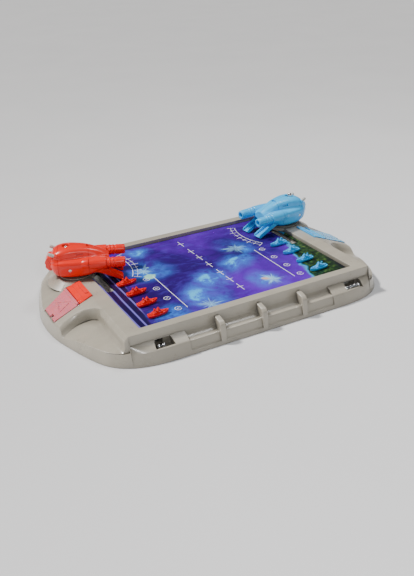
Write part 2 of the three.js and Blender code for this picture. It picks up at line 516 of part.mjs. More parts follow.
for (const [team, s] of [["red", -1], ["blue", 1]]) {
  const colour = paint[team], fixed = { at: [s * PIVOT.x, PIVOT.y, 0] };
  const aimed = { at: fixed.at, turn: s < 0 ? rad(YAW.red) : Math.PI - rad(YAW.blue) };
  node(`${team}_turret_seat`, turretSeat(), paint.frame, fixed);
  node(`${team}_pivot_post`, pivotPost(), paint.grey, fixed);
  node(`${team}_shell_left`, gunShell(1), colour, aimed);
  node(`${team}_shell_right`, gunShell(-1), colour, aimed);
  node(`${team}_barrel_left`, gunBarrel(1), colour, aimed);
  node(`${team}_barrel_right`, gunBarrel(-1), colour, aimed);
  node(`${team}_chutes`, gunChutes(), colour, aimed);
  node(`${team}_tail_block`, gunTail(), colour, aimed);
  node(`${team}_plunger_left`, gunPlunger(1), paint.grey, aimed);
  node(`${team}_plunger_right`, gunPlunger(-1), paint.grey, aimed);
  node(`${team}_spring_left`, spring(1), paint.steel, aimed);
  node(`${team}_spring_right`, spring(-1), paint.steel, aimed);
  node(`${team}_screw_left`, gunScrew("left"), paint.steel, aimed);
  node(`${team}_screw_right`, gunScrew("right"), paint.steel, aimed);
  node(`${team}_hopper_balls`, team === "red" ? ball(-10, 0, 79.3)
    : join([ball(-10, -0.4, 79.3), ball(-10.6, 2.2, 85.2)]), paint.steel, aimed);
  node(`${team}_hatch_block`, hatchBlock(s), colour);
  node(`${team}_hatch_lid`, hatchLid(s), paint[`${team}Lid`]);
  node(`${team}_hatch_pin`, hatchPin(s), paint.steel);
  SHIP_Y.forEach((y, i) => node(`${team}_ship_${i + 1}`, ship(), colour,
    { at: [s * SHIP_X, y, FIELD.top + 0.03], turn: s < 0 ? 0.06 : Math.PI + 0.06 }));
  node(`${team}_spare_ship`, ship(), colour, { at: [s * 216, 5.5, STORE.floor + 0.05], turn: Math.PI / 2 });
  node(`${team}_spare_balls`, join([0, 1, 2, 3].slice(s < 0 ? 0 : 1).map((k) =>
    ball(s * 230, 15 - 6.7 * k, STORE.floor + BALL_R + 0.05))), paint.steel);
}
for (const [side, places] of [["left", [-150, -143.3]], ["right", [145.2, 151.9, 158.6, 165.3]]]) {
  node(`window_balls_${side}`, join(places.map((x) => ball(x, -138.5, TRAY_Z + BALL_R + 0.05))), paint.steel);
}

export default root;
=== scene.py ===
"""Looks of a two-player sea battle shooting game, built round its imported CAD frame.

Shapes are made in millimetres in the row frame and turned into metres at the end.
+X runs towards the blue player, -Y towards the ball windows. A gun's own frame has
u forward along +X and v to its left, with the turret axis at the origin.
"""

import math

import bmesh
import bpy
from mathutils import Matrix, Vector


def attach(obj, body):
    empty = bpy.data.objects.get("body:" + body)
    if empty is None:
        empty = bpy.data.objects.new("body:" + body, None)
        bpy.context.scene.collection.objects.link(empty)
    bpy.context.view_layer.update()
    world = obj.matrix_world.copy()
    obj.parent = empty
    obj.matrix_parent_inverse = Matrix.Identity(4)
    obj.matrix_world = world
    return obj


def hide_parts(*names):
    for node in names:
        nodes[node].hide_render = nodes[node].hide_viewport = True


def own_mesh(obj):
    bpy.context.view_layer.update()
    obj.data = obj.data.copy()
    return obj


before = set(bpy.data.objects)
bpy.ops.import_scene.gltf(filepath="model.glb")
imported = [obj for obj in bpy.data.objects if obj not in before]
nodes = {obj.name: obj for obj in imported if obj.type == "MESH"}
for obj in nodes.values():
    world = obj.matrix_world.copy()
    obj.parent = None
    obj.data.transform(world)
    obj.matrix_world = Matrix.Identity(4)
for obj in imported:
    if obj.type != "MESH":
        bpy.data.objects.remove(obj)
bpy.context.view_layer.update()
scene = bpy.context.scene

# ---------------- dimensions (mm)
MM = 0.001  # metres in a millimetre
GAP, WALL = 0.3, 2.5  # play between parts, and walls round wells
RIM_X, RIM_Y, RIM_Z = 187.5, 132.5, 39  # half length, half width and top of the raised rim
FIELD_X, FIELD_Y = 166, 119  # half length and half width of the board's recess
FIELD_FLOOR, FIELD_TOP = 31.3, 33.5  # under and upper side of the board
INK_Z, OVER_Z = FIELD_TOP + 0.012, FIELD_TOP + 0.05  # printed lines, and lines that cross them
EDGE_Z, LEDGE_Z = 18.2, 26  # heights of the outer lip and of the ledge round the rim
LIP = [(0, 0), (4.5, EDGE_Z - 2.4), (4.9, EDGE_Z - 1.2), (5.6, EDGE_Z - 0.3)]  # inset, z of the lip
RIBS, RIB_W = (-64, 0, 64), 7.5
PIVOT_X, PIVOT_Y, BOSS_R = 180, 70, 27  # turret axis, and the round boss under it
TEAMS = (("red", -1), ("blue", 1))  # each team, and the sign of its end of the case
AIM = {"red": -22.5, "blue": 186}  # directions of the guns at rest, in degrees from +X
SHIP_X, SHIP_Y = 128, (8, -26, -60, -94)
BALL_R, BALL_PITCH = 3.5, 6.7  # balls in a row overlap slightly, as in the CAD
SLOPE = 21 / 59.5  # fall of the end decks
DECK_X = 186.5  # where the end decks start, just inside the rim
FOOT = [(112, -153), (140, -152.6), (161, -150.5), (178, -146.5), (192, -140), (204, -131.5),
        (214, -120), (222, -105), (230, -85), (237, -64), (243, -44), (248, -22), (250, 4),
        (248.5, 32), (243, 58), (237, 80), (231, 99), (224, 117), (213, 133), (199, 143.5),
        (180, 150), (160, 152.4), (135, 153)]  # outline of one end at the floor
WINDOWS = [(-157, -129, -156.5, -141), (139, 171, 145, 165)]  # tray x0, x1, passage x0, x1
TRAY_Z, SILL_Z = 13.4, 17.9  # floor of the ball trays, front sill of the windows
HINGE_X, HINGE_Y0, HINGE_Y1 = 206.6, -9.5, 42.5
STORE = (209, 239, -11, 22, 6)  # x0, x1, y0, y1, floor of the spare-part store
LID_WELL = [(205.1, -11.1), (205.1, 44.9), (244.1, 24.6), (244.1, -15.2)]
BLOCK = [(185.6, -9), (185.6, 39.3), (204, 44.2), (204, -10.5)]
HINGE_SLOT = [(203.5, -10.9), (203.5, 43.9), (206, 43.9), (206, -10.9)]
SCREW_X, SCREW_Y = 110, 122.5
BARREL_V, BARREL_Z = 22, 62.5
TIP_U, TIP_V, TIP_Z, TIP_ANGLE = -34, 14.5, 78, 25  # upper ends of the plungers, and their dip
SPRING_START, SPRING_END, STROKE = 16, 37.3, 8  # along a plunger, from its tip


def lerp(a, b, t):
    return a + (b - a) * t


def deck_z(x):
    """Height of the sloping end deck."""
    return RIM_Z - SLOPE * (abs(x) - RIM_X)


HINGE_Z = deck_z(HINGE_X) - 0.4


# ---------------- curves
def spline(points, steps):
    """Smooth open path through the points, with `steps` pieces between neighbours."""
    pts = [Vector(p) for p in points]
    out = []
    for i in range(len(pts) - 1):
        a, b = pts[i], pts[i + 1]
        before, after = pts[max(i - 1, 0)], pts[min(i + 2, len(pts) - 1)]
        ta, tb = (b - before) / (2 if i else 1), (after - a) / (2 if i + 2 < len(pts) else 1)
        for k in range(steps):
            t = k / steps
            t2, t3 = t * t, t * t * t
            out.append(a * (2 * t3 - 3 * t2 + 1) + ta * (t3 - 2 * t2 + t)
                       + b * (3 * t2 - 2 * t3) + tb * (t3 - t2))
    return [tuple(p) for p in out + [pts[-1]]]


def rounded(poly, radius, steps=5):
    """Polygon with its corners turned into short curves that start `radius` from each corner."""
    out, n = [], len(poly)
    for i, corner in enumerate(poly):
        c = Vector(corner)
        a, b = Vector(poly[i - 1]) - c, Vector(poly[(i + 1) % n]) - c
        a, b = (v.normalized() * min(radius, 0.45 * v.length) for v in (a, b))
        for k in range(steps + 1):
            t = k / steps
            out.append(tuple(c + a * (1 - t) ** 2 + b * t * t))
    return out


def grow(poly, d):
    """Four-cornered outline with every corner moved out by d both ways."""
    cx, cy = (sum(p[i] for p in poly) / len(poly) for i in (0, 1))
    return [(x + math.copysign(d, x - cx), y + math.copysign(d, y - cy)) for x, y in poly]


# ---------------- solids
def solid(bm):
    """New object from a bmesh, with its faces turned outwards."""
    bmesh.ops.recalc_face_normals(bm, faces=bm.faces)
    mesh = bpy.data.meshes.new("solid")
    bm.to_mesh(mesh)
    bm.free()
    o = bpy.data.objects.new("solid", mesh)
    scene.collection.objects.link(o)
    return o


def loft(rings, closed=False):
    """Skin over rings of equal length; the ends are capped, or joined if closed."""
    bm = bmesh.new()
    rows = [[bm.verts.new(p) for p in ring] for ring in rings]
    for a, b in zip(rows, rows[1:] + ([rows[0]] if closed else [])):
        for i in range(len(a)):
            j = (i + 1) % len(a)
            bm.faces.new((a[i], a[j], b[j], b[i]))
    if not closed:
        bm.faces.new(rows[0][::-1])
        bm.faces.new(rows[-1])
    return solid(bm)


def hull(points):
    bm = bmesh.new()
    for p in points:
        bm.verts.new(p)
    bmesh.ops.remove_doubles(bm, verts=bm.verts, dist=1e-4)
    out = bmesh.ops.convex_hull(bm, input=bm.verts)
    loose = {g for g in out["geom_interior"] + out["geom_unused"] if isinstance(g, bmesh.types.BMVert)}
    bmesh.ops.delete(bm, geom=list(loose), context="VERTS")
    return solid(bm)


def prism(axis, poly, a0, a1):
    """Outline drawn out along an axis; its points give the other two coordinates in order."""
    at = "xyz".index(axis)
    return loft([[(*p[:at], a, *p[at:]) for p in poly] for a in (a0, a1)])


def box(x0, x1, y0, y1, z0, z1):
    return prism("z", [(x0, y0), (x1, y0), (x1, y1), (x0, y1)], z0, z1)


def end_box(s, x0, x1, *rest):
    """Box at the -X or +X end, as the sign s says."""
    return box(min(s * x0, s * x1), max(s * x0, s * x1), *rest)


def pad(x0, x1, y0, y1, z0, z1, edge=0.35):
    """Box with its top and upright edges eased."""
    def ring(d, z):
        poly = [(x0 + d, y0 + d), (x1 - d, y0 + d), (x1 - d, y1 - d), (x0 + d, y1 - d)]
        return [(x, y, z) for x, y in rounded(poly, edge + 0.2, 2)]
    return loft([ring(0, z0), ring(0, z1 - edge), ring(edge * 0.3, z1 - edge * 0.3), ring(edge, z1)])


def turned(profile, at=(0, 0, 0), direction=(0, 0, 1), seg=64):
    """Solid of revolution of (radius, height) pairs; a profile off the axis closes on itself."""
    turn = Vector((0, 0, 1)).rotation_difference(Vector(direction).normalized()).to_matrix()
    spot = Vector(at)

    def ring(r, h):
        angles = (2 * math.pi * i / seg for i in range(seg))
        return [spot + turn @ Vector((r * math.cos(a), r * math.sin(a), h)) for a in angles]
    if profile[0][0] > 1e-6:
        return loft([ring(r, h) for r, h in profile], closed=True)
    bm = bmesh.new()
    tips = [bm.verts.new(spot + turn @ Vector((0, 0, h))) for _, h in (profile[0], profile[-1])]
    rows = [[bm.verts.new(p) for p in ring(r, h)] for r, h in profile[1:-1]]
    for a, b in zip(rows, rows[1:]):
        for i in range(seg):
            bm.faces.new((a[i], a[(i + 1) % seg], b[(i + 1) % seg], b[i]))
    for tip, row in zip(tips, (rows[0], rows[-1])):
        for i in range(seg):
            bm.faces.new((tip, row[i], row[(i + 1) % seg]))
    return solid(bm)


def rod(a, b, r0, r1=None, seg=48):
    """Round bar from a to b, straight or tapered."""
    r1 = r0 if r1 is None else r1
    length = (Vector(b) - Vector(a)).length
    return turned([(0, 0), (r0, 0), (r1, length), (0, length)], a, Vector(b) - Vector(a), seg)


def ball(x, y, z):
    steps = 16
    arc = [(BALL_R * math.sin(math.pi * i / steps), -BALL_R * math.cos(math.pi * i / steps))
           for i in range(1, steps)]
    return turned([(0, -BALL_R), *arc, (0, BALL_R)], (x, y, z), seg=32)


def tube(path, radius, sides=8):
    """Round wire along a path, with flat ends."""
    pts = [Vector(p) for p in path]
    rings, side = [], Vector((0, 0, 1)).cross(pts[1] - pts[0]).normalized()
    for i, p in enumerate(pts):
        t = (pts[min(i + 1, len(pts) - 1)] - pts[max(i - 1, 0)]).normalized()
        side = (side - t * side.dot(t)).normalized()
        up = t.cross(side)
        rings.append([p + (side * math.cos(a) + up * math.sin(a)) * radius
                      for a in (2 * math.pi * k / sides for k in range(sides))])
    return loft(rings)


def moved(o, matrix):
    o.data.transform(matrix)
    return o


def copy(o):
    c = bpy.data.objects.new("solid", o.data.copy())
    scene.collection.objects.link(c)
    return c


def flatten(parts):
    """Solids and lists of solids as one list."""
    return [o for p in parts for o in (p if isinstance(p, list) else [p])]


def combine(how, base, tools):
    """Boolean of a solid with tools, which are used up."""
    for t in tools:
        m = base.modifiers.new("boolean", "BOOLEAN")
        m.operation, m.solver, m.object = how, "MANIFOLD", t
    graph = bpy.context.evaluated_depsgraph_get()
    mesh = bpy.data.meshes.new_from_object(base.evaluated_get(graph))
    out = bpy.data.objects.new("solid", mesh)
    scene.collection.objects.link(out)
    for o in [base, *tools]:
        bpy.data.objects.remove(o)
    return out


def join(*parts):
    first, *others = flatten(parts)
    return combine("UNION", first, others)


def cut(base, *tools):
    return combine("DIFFERENCE", base, flatten(tools))


def common(a, b):
    return combine("INTERSECT", a, [b])


def gather(parts):
    """Several solids as one object, each left as it is."""
    bm = bmesh.new()
    for p in parts:
        bm.from_mesh(p.data)
        bpy.data.objects.remove(p)
    return solid(bm)


# ---------------- materials
class Shader:
    """A small builder for node materials; its inputs are values or output sockets."""

    def __init__(self, name):
        self.material = bpy.data.materials.new(name)
        self.material.use_nodes = True
        self.tree = self.material.node_tree
        self.tree.nodes.clear()
        self.coord = self.add("TexCoord").outputs["Object"]

    def add(self, kind, **inputs):
        n = self.tree.nodes.new("ShaderNode" + kind)
        for key, value in inputs.items():
            self.put(n.inputs[key.replace("_", " ")], value)
        return n

    def put(self, socket, value):
        if isinstance(value, bpy.types.NodeSocket):
            self.tree.links.new(value, socket)
        else:
            socket.default_value = value

    def calc(self, how, *values, clamp=False):
        n = self.add("Math")
        n.operation, n.use_clamp = how, clamp
        for i, v in enumerate(values):
            self.put(n.inputs[i], v)
        return n.outputs[0]

    def vector(self, how, a, b=None, scale=None):
        n = self.add("VectorMath")
        n.operation = how
        self.put(n.inputs[0], a)
        if b is not None:
            self.put(n.inputs[1], b)
        if scale is not None:
            self.put(n.inputs["Scale"], scale)
        return n.outputs["Value" if how in ("DISTANCE", "LENGTH", "DOT_PRODUCT") else "Vector"]

    def noise(self, scale, detail=3.0, rough=0.5, at=None, colour=False):
        n = self.add("TexNoise", Scale=scale, Detail=detail, Roughness=rough, Vector=at or self.coord)
        return n.outputs["Color" if colour else "Fac"]

    def ramp(self, fac, *stops):
        """stops are (position, value) with a value from 0 to 1 or an RGB colour."""
        n = self.add("ValToRGB", Fac=fac)
        for i, (at, value) in enumerate(stops):
            e = n.color_ramp.elements[i] if i < 2 else n.color_ramp.elements.new(at)
            e.position = at
            e.color = (*(value if isinstance(value, tuple) else (value,) * 3), 1)
        return n.outputs["Color"]

    def step(self, value, low, high):
        """0 below low, 1 above high, smooth between."""
        n = self.add("MapRange", Value=value, From_Min=low, From_Max=high)
        n.interpolation_type = "SMOOTHSTEP"
        return n.outputs["Result"]

    def mix(self, fac, a, b):
        """Colour a where fac is 0 and b where it is 1; both are RGB or sockets."""
        n = self.add("Mix")
        n.data_type = "RGBA"
        self.put(n.inputs[0], fac)
        for socket, value in ((n.inputs[6], a), (n.inputs[7], b)):
            self.put(socket, (*value, 1) if isinstance(value, tuple) else value)
        return n.outputs[2]

    def blotch(self, scale, detail=3.0):
        """Soft large patches, from 0 to 1."""
        return self.ramp(self.noise(scale, detail), (0.3, 0.0), (0.7, 1.0))

    def bump(self, height, strength, depth, under=None):
        n = self.add("Bump", Height=height, Strength=strength, Distance=depth)
        if under is not None:
            self.put(n.inputs["Normal"], under)
        return n.outputs["Normal"]

    def edges(self, radius):
        """(rounded normal, mask that is 1 on the edges)."""
        n = self.add("Bevel", Radius=radius)
        n.samples = 4
        flat = self.add("NewGeometry").outputs["Normal"]
        near = self.vector("DOT_PRODUCT", n.outputs["Normal"], flat)
        return n.outputs["Normal"], self.step(near, 0.995, 0.86)

    def painted_recess_shade(self, reach):
        """Mask that is 1 in corners and recesses, found by ambient occlusion: where painted shade darkens the
        surface.
        """
        n = self.add("AmbientOcclusion", Distance=reach)
        n.samples = 6
        return self.step(n.outputs["AO"], 0.95, 0.35)

    def surface(self, **inputs):
        shader = self.add("BsdfPrincipled", **inputs)
        out = self.add("OutputMaterial")
        self.tree.links.new(shader.outputs[0], out.inputs[0])
        return self.material


def plastic(name, colour, rough, grain=0.06, edge_wear_and_highlight=0.25, radius=0.0005, grime=0.4, reach=0.006, **extra):
    """Moulded plastic: slight flow marks and tone changes, fine grain, paler edges (partly rubbed wear,
    partly painted highlight) and painted shade in recesses.
    """
    s = Shader(name)
    normal, edge = s.edges(radius)
    cloud = s.noise(22, 4, 0.55, at=s.vector("MULTIPLY", s.coord, (1.0, 2.6, 1.0)))
    speck = s.noise(900, 2, 0.6)
    dark, pale = (tuple(min(1, c * k) for c in colour) for k in (0.92, 1.07))
    tone = s.mix(s.ramp(cloud, (0.3, 0.0), (0.7, 1.0)), dark, pale)
    tone = s.mix(s.calc("MULTIPLY", s.ramp(speck, (0.62, 0.0), (0.78, 1.0)), 0.12), tone, pale)
    # paler edges: partly rubbed wear, partly painted highlight along the edges
    rubbed_and_lit_edge = s.calc("MULTIPLY", edge, s.ramp(s.noise(60, 4), (0.35, 0.2), (0.7, 1.0)))
    tone = s.mix(s.calc("MULTIPLY", rubbed_and_lit_edge, edge_wear_and_highlight), tone, tuple(min(1, c * 0.7 + 0.3) for c in colour))
    # painted shade: colour darkened in corners and recesses
    tone = s.mix(s.calc("MULTIPLY", s.painted_recess_shade(reach), grime), tone, tuple(c * 0.3 for c in colour))
    smudge = s.ramp(s.noise(38, 5, 0.65), (0.35, 0.0), (0.75, 1.0))
    gloss = s.calc("ADD", s.calc("MULTIPLY_ADD", smudge, 0.12, rough - 0.04),
                   s.calc("MULTIPLY", speck, 0.05))
    skin = s.bump(s.noise(1700, 3, 0.6), grain, 0.00008, normal)
    skin = s.bump(cloud, 0.2, 0.0004, skin)
    return s.surface(Base_Color=tone, Roughness=gloss, Normal=skin, **extra)


def steel(name, rough=0.16):
    s = Shader(name)
    fine = s.noise(1400, 4, 0.6, at=s.vector("MULTIPLY", s.coord, (1, 1, 9)))
    tone = s.mix(s.blotch(160), (0.62, 0.63, 0.66), (0.86, 0.87, 0.88))
    gloss = s.calc("MULTIPLY_ADD", fine, 0.12, rough - 0.04)
    return s.surface(Base_Color=tone, Roughness=gloss, Metallic=1.0, Normal=s.bump(fine, 0.08, 0.00003))


def printed_sea(name):
    """Glossy board print: a night sea with spray and shoals, a wooded shore at +X and a pier at -X."""
    s = Shader(name)
    drift = s.vector("SUBTRACT", s.noise(11, 3, colour=True), (0.5, 0.5, 0.5))
    at = s.vector("ADD", s.coord, s.vector("SCALE", drift, scale=0.07))
    axes = s.add("SeparateXYZ", Vector=s.coord)
    x, y = axes.outputs["X"], axes.outputs["Y"]
    sea = s.ramp(s.noise(5.5, 7, 0.6, at=at), (0.3, (0.01, 0.001, 0.05)), (0.44, (0.028, 0.002, 0.16)),
                 (0.56, (0.085, 0.004, 0.36)), (0.7, (0.16, 0.014, 0.64)))
    ripple = s.noise(46, 6, 0.62, at=s.vector("MULTIPLY", at, (1.0, 2.4, 1.0)))
    sea = s.mix(s.calc("MULTIPLY", s.ramp(ripple, (0.5, 0.0), (0.72, 1.0)), 0.26), sea, (0.14, 0.1, 0.85))
    foam_noise = s.noise(26, 8, 0.68, at=at)
    foam = s.ramp(foam_noise, (0.38, 0.1), (0.62, 1.0))

    def patch(cx, cy, radius, power=1.0):
        """Soft round patch, broken up by the foam noise."""
        far = s.vector("DISTANCE", s.vector("MULTIPLY", at, (1, 1, 0)), (cx * MM, cy * MM, 0))
        core = s.step(far, radius * MM, radius * MM * 0.15)
        return s.calc("MULTIPLY", s.calc("MULTIPLY", core, foam), power, clamp=True)

    def burst(cx, cy, radius):
        """Spray of thin rays round a point."""
        dx, dy = s.calc("SUBTRACT", x, cx * MM), s.calc("SUBTRACT", y, cy * MM)
        angle = s.calc("ARCTAN2", dy, dx)
        ring = s.add("CombineXYZ", X=s.calc("COSINE", angle), Y=s.calc("SINE", angle), Z=(cx + cy) * 0.1)
        rays = s.noise(3.6, 6, 0.8, at=ring.outputs[0])
        reach = s.calc("MULTIPLY", s.ramp(rays, (0.38, 0.1), (0.7, 1.0)), radius * MM)
        far = s.calc("SQRT", s.calc("ADD", s.calc("MULTIPLY", dx, dx), s.calc("MULTIPLY", dy, dy)))
        return s.step(s.calc("SUBTRACT", reach, far), -0.001, 0.008)

    def most(values):
        out = values[0]
        for v in values[1:]:
            out = s.calc("MAXIMUM", out, v)
        return out
    glow = most([patch(-72, 98, 34), patch(-88, 30, 46), patch(40, -14, 44, 1.3), patch(-18, -40, 42, 1.3),
                 patch(-55, -78, 46), patch(66, 32, 40), patch(54, -84, 34), patch(-118, -104, 44, 1.2)])
    art = s.mix(glow, sea, (0.04, 0.24, 0.9))
    art = s.mix(s.step(glow, 0.65, 1.1), art, (0.1, 0.6, 1.0))
    spray = most([burst(64, 32, 30), burst(54, -86, 30), burst(-56, -104, 26), burst(-90, 34, 20)])
    torn = s.ramp(foam_noise, (0.36, 0.25), (0.6, 1.0))
    art = s.mix(s.calc("MULTIPLY", spray, torn), art, (0.36, 0.78, 1.0))
    hot = s.calc("MULTIPLY", patch(54, -86, 6, 1.6), 0.9, clamp=True)
    art = s.mix(hot, art, (0.9, 0.5, 0.3))
    islet = most([patch(-82, 46, 13, 1.6), patch(-97, 14, 13, 1.6)])
    art = s.mix(s.step(islet, 0.25, 0.8), art, (0.35, 0.75, 0.6))
    leaves = s.ramp(s.noise(150, 5, 0.7), (0.36, (0.003, 0.008, 0.008)), (0.5, (0.012, 0.034, 0.012)),
                    (0.6, (0.05, 0.12, 0.025)), (0.72, (0.22, 0.28, 0.06)))
    from_shore = s.vector("SUBTRACT", s.coord, (131 * MM, -38 * MM, 0))
    inland = s.vector("DOT_PRODUCT", from_shore, (0.944, -0.33, 0))
    ragged = s.calc("MULTIPLY_ADD", s.calc("SUBTRACT", s.noise(34, 4), 0.5), 0.035, inland)
    art = s.mix(s.step(ragged, -0.006, 0.001), art, (0.05, 0.4, 0.75))
    art = s.mix(s.step(ragged, -0.001, 0.004), art, leaves)
    art = s.mix(s.step(ragged, 0.034, 0.05), art, (0.004, 0.008, 0.012))
    pier = s.calc("SUBTRACT", s.calc("MULTIPLY", y, 0.12), s.calc("ADD", x, 131 * MM))
    planks = s.add("TexWave", Scale=32.0, Distortion=1.5, Detail=3.0,
                   Vector=s.vector("MULTIPLY", s.coord, (1, 0.28, 1)))
    seams = s.ramp(planks.outputs["Fac"], (0.78, 0.0), (0.95, 1.0))
    wood = s.mix(seams, (0.01, 0.006, 0.05), (0.2, 0.17, 0.62))
    art = s.mix(s.calc("MULTIPLY", s.step(pier, 0.0, 0.004), 0.92), art, wood)
    dots = s.add("TexVoronoi", Scale=620, Vector=s.coord).outputs["Distance"]
    art = s.mix(s.calc("MULTIPLY", s.ramp(dots, (0.2, 0.0), (0.6, 1.0)), 0.1), art, (0.0, 0.0, 0.02))
    skin = s.bump(s.noise(9, 2), 0.12, 0.002)
    skin = s.bump(s.noise(700, 3), 0.05, 0.00005, skin)
    gloss = s.calc("MULTIPLY_ADD", s.noise(40, 5), 0.14, 0.24)
    return s.surface(Base_Color=art, Roughness=gloss, Normal=skin, Specular_IOR_Level=0.22, Coat_Weight=0.08,
                     Coat_Roughness=0.14)


def ink(name, colour):
    """Screen-printed line: slightly uneven and scuffed."""
    s = Shader(name)
    thin = s.ramp(s.noise(420, 4, 0.7), (0.34, 0.0), (0.46, 1.0))
    tone = s.mix(thin, tuple(c * 0.62 for c in colour), colour)
    return s.surface(Base_Color=tone, Roughness=s.calc("MULTIPLY_ADD", s.noise(300), 0.2, 0.3))


def clear_lid(name, colour):
    """Tinted translucent polystyrene lid."""
    s = Shader(name)
    normal, edge = s.edges(0.0004)
    tone = s.mix(s.blotch(50, 4), tuple(c * 0.86 for c in colour), colour)
    tone = s.mix(s.calc("MULTIPLY", edge, 0.75), tone, tuple(c * c * 0.8 for c in colour))
    # painted shade: the lid's colour darkened in its recesses
    tone = s.mix(s.calc("MULTIPLY", s.painted_recess_shade(0.0016), 0.9), tone, tuple(c * c * 0.35 for c in colour))
    gloss = s.calc("MULTIPLY_ADD", s.noise(90, 5), 0.12, 0.2)
    skin = s.bump(s.noise(260, 4), 0.08, 0.0001, normal)
    return s.surface(Base_Color=tone, Roughness=gloss, Normal=skin, IOR=1.55, Transmission_Weight=0.2,
                     Subsurface_Weight=0.25, Subsurface_Scale=0.002, Coat_Weight=0.3)


COLOUR = {"red": (0.95, 0.016, 0.003), "blue": (0.045, 0.5, 1.0)}
# coat of the team plastics, and the strength of their painted shade in recesses
TEAM_COAT_AND_SHADE = {"grime": 0.2, "Coat_Weight": 0.2, "Coat_Roughness": 0.1}
M = {
    # frame: strong painted highlight on its edges and strong painted shade in its recesses
    "frame": plastic("frame plastic", (0.42, 0.385, 0.315), 0.28, grain=0.12, edge_wear_and_highlight=0.85, radius=0.001,
                     grime=0.75, reach=0.018, Coat_Weight=0.3, Coat_Roughness=0.16),
    "red": plastic("red plastic", COLOUR["red"], 0.3, edge_wear_and_highlight=0.06, **TEAM_COAT_AND_SHADE),
    "blue": plastic("blue plastic", COLOUR["blue"], 0.3, edge_wear_and_highlight=0.15, **TEAM_COAT_AND_SHADE),
    "grey": plastic("grey plastic", (0.55, 0.54, 0.5), 0.38, grain=0.1),
    "steel": steel("ball steel"),
    "wire": steel("wire steel", 0.3),
    "print": printed_sea("printed sea"),
    "ink": ink("white ink", (0.96, 0.97, 1.0)),
    "red_lid": clear_lid("pink lid", (1.0, 0.27, 0.33)),
    "blue_lid": clear_lid("sky lid", (0.12, 0.6, 1.0)),
}


# ---------------- finishing
def piece(o, name, body, material, replaced=None, place=None, sharp=32):
    """Finishes a solid: metres, clean surface, smooth shading with sharp creases, and its body."""
    bm = bmesh.new()
    bm.from_mesh(o.data)
    bmesh.ops.remove_doubles(bm, verts=bm.verts, dist=0.004)
    bmesh.ops.dissolve_degenerate(bm, edges=bm.edges, dist=0.004)
    bm.transform(Matrix.Scale(MM, 4) @ (place or Matrix.Identity(4)))
    mesh = bpy.data.meshes.new(name)
    bm.to_mesh(mesh)
    bm.free()
    bpy.data.objects.remove(o)
    p = bpy.data.objects.new(name, mesh)
    scene.collection.objects.link(p)
    mesh.materials.append(M[material])
    mesh.shade_smooth()
    mesh.set_sharp_from_angle(angle=math.radians(sharp))
    even = p.modifiers.new("even normals", "WEIGHTED_NORMAL")
    even.keep_sharp = True
    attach(p, body)
    if replaced:
        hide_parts(replaced)
    return p


def keep_node(name, material, edge):
    """A CAD node that stays: better material, and eased edges of the given width."""
    o = nodes[name]
    o.data.materials.clear()
    o.data.materials.append(M[material])
    weld = o.modifiers.new("weld", "WELD")
    weld.merge_threshold = 0.01 * MM
    flat = o.modifiers.new("flat faces", "DECIMATE")
    flat.decimate_type, flat.angle_limit = "DISSOLVE", math.radians(1)
    ease = o.modifiers.new("eased edges", "BEVEL")
    ease.width, ease.segments, ease.limit_method = edge * MM, 2, "ANGLE"
    ease.angle_limit, ease.harden_normals = math.radians(40), True


# ---------------- frame shell
END = spline([(84, -153), *FOOT, (84, 153)], 5)[5:-5]
OUTLINE = END + [(-x, y) for x, y in END[::-1]]  # whole outline at the floor, closed


def outline(d):
    """The case's outline, moved inwards by d."""
    out = []
    for i, (x, y) in enumerate(OUTLINE):
        t = (Vector(OUTLINE[(i + 1) % len(OUTLINE)]) - Vector(OUTLINE[i - 1])).normalized()
        out.append((x - t.y * d, y + t.x * d))
    return out


def ring_at(d, z):
    return [(x, y, z) for x, y in outline(d)]


def deck_body(s):
    """Sloping deck of one end."""
    pts = [p for d, z in [*LIP, (6.8, EDGE_Z + 0.3), (9.5, EDGE_Z + 1.1)] for p in ring_at(d, z)
           if p[0] * s > DECK_X]
    for y in (-RIM_Y, RIM_Y):
        pts += [(s * 187, y, 2), (s * 187, y, RIM_Z), (s * RIM_X, y, RIM_Z - 0.9),
                (s * RIM_X, y - math.copysign(0.9, y), RIM_Z)]
    return hull(pts)


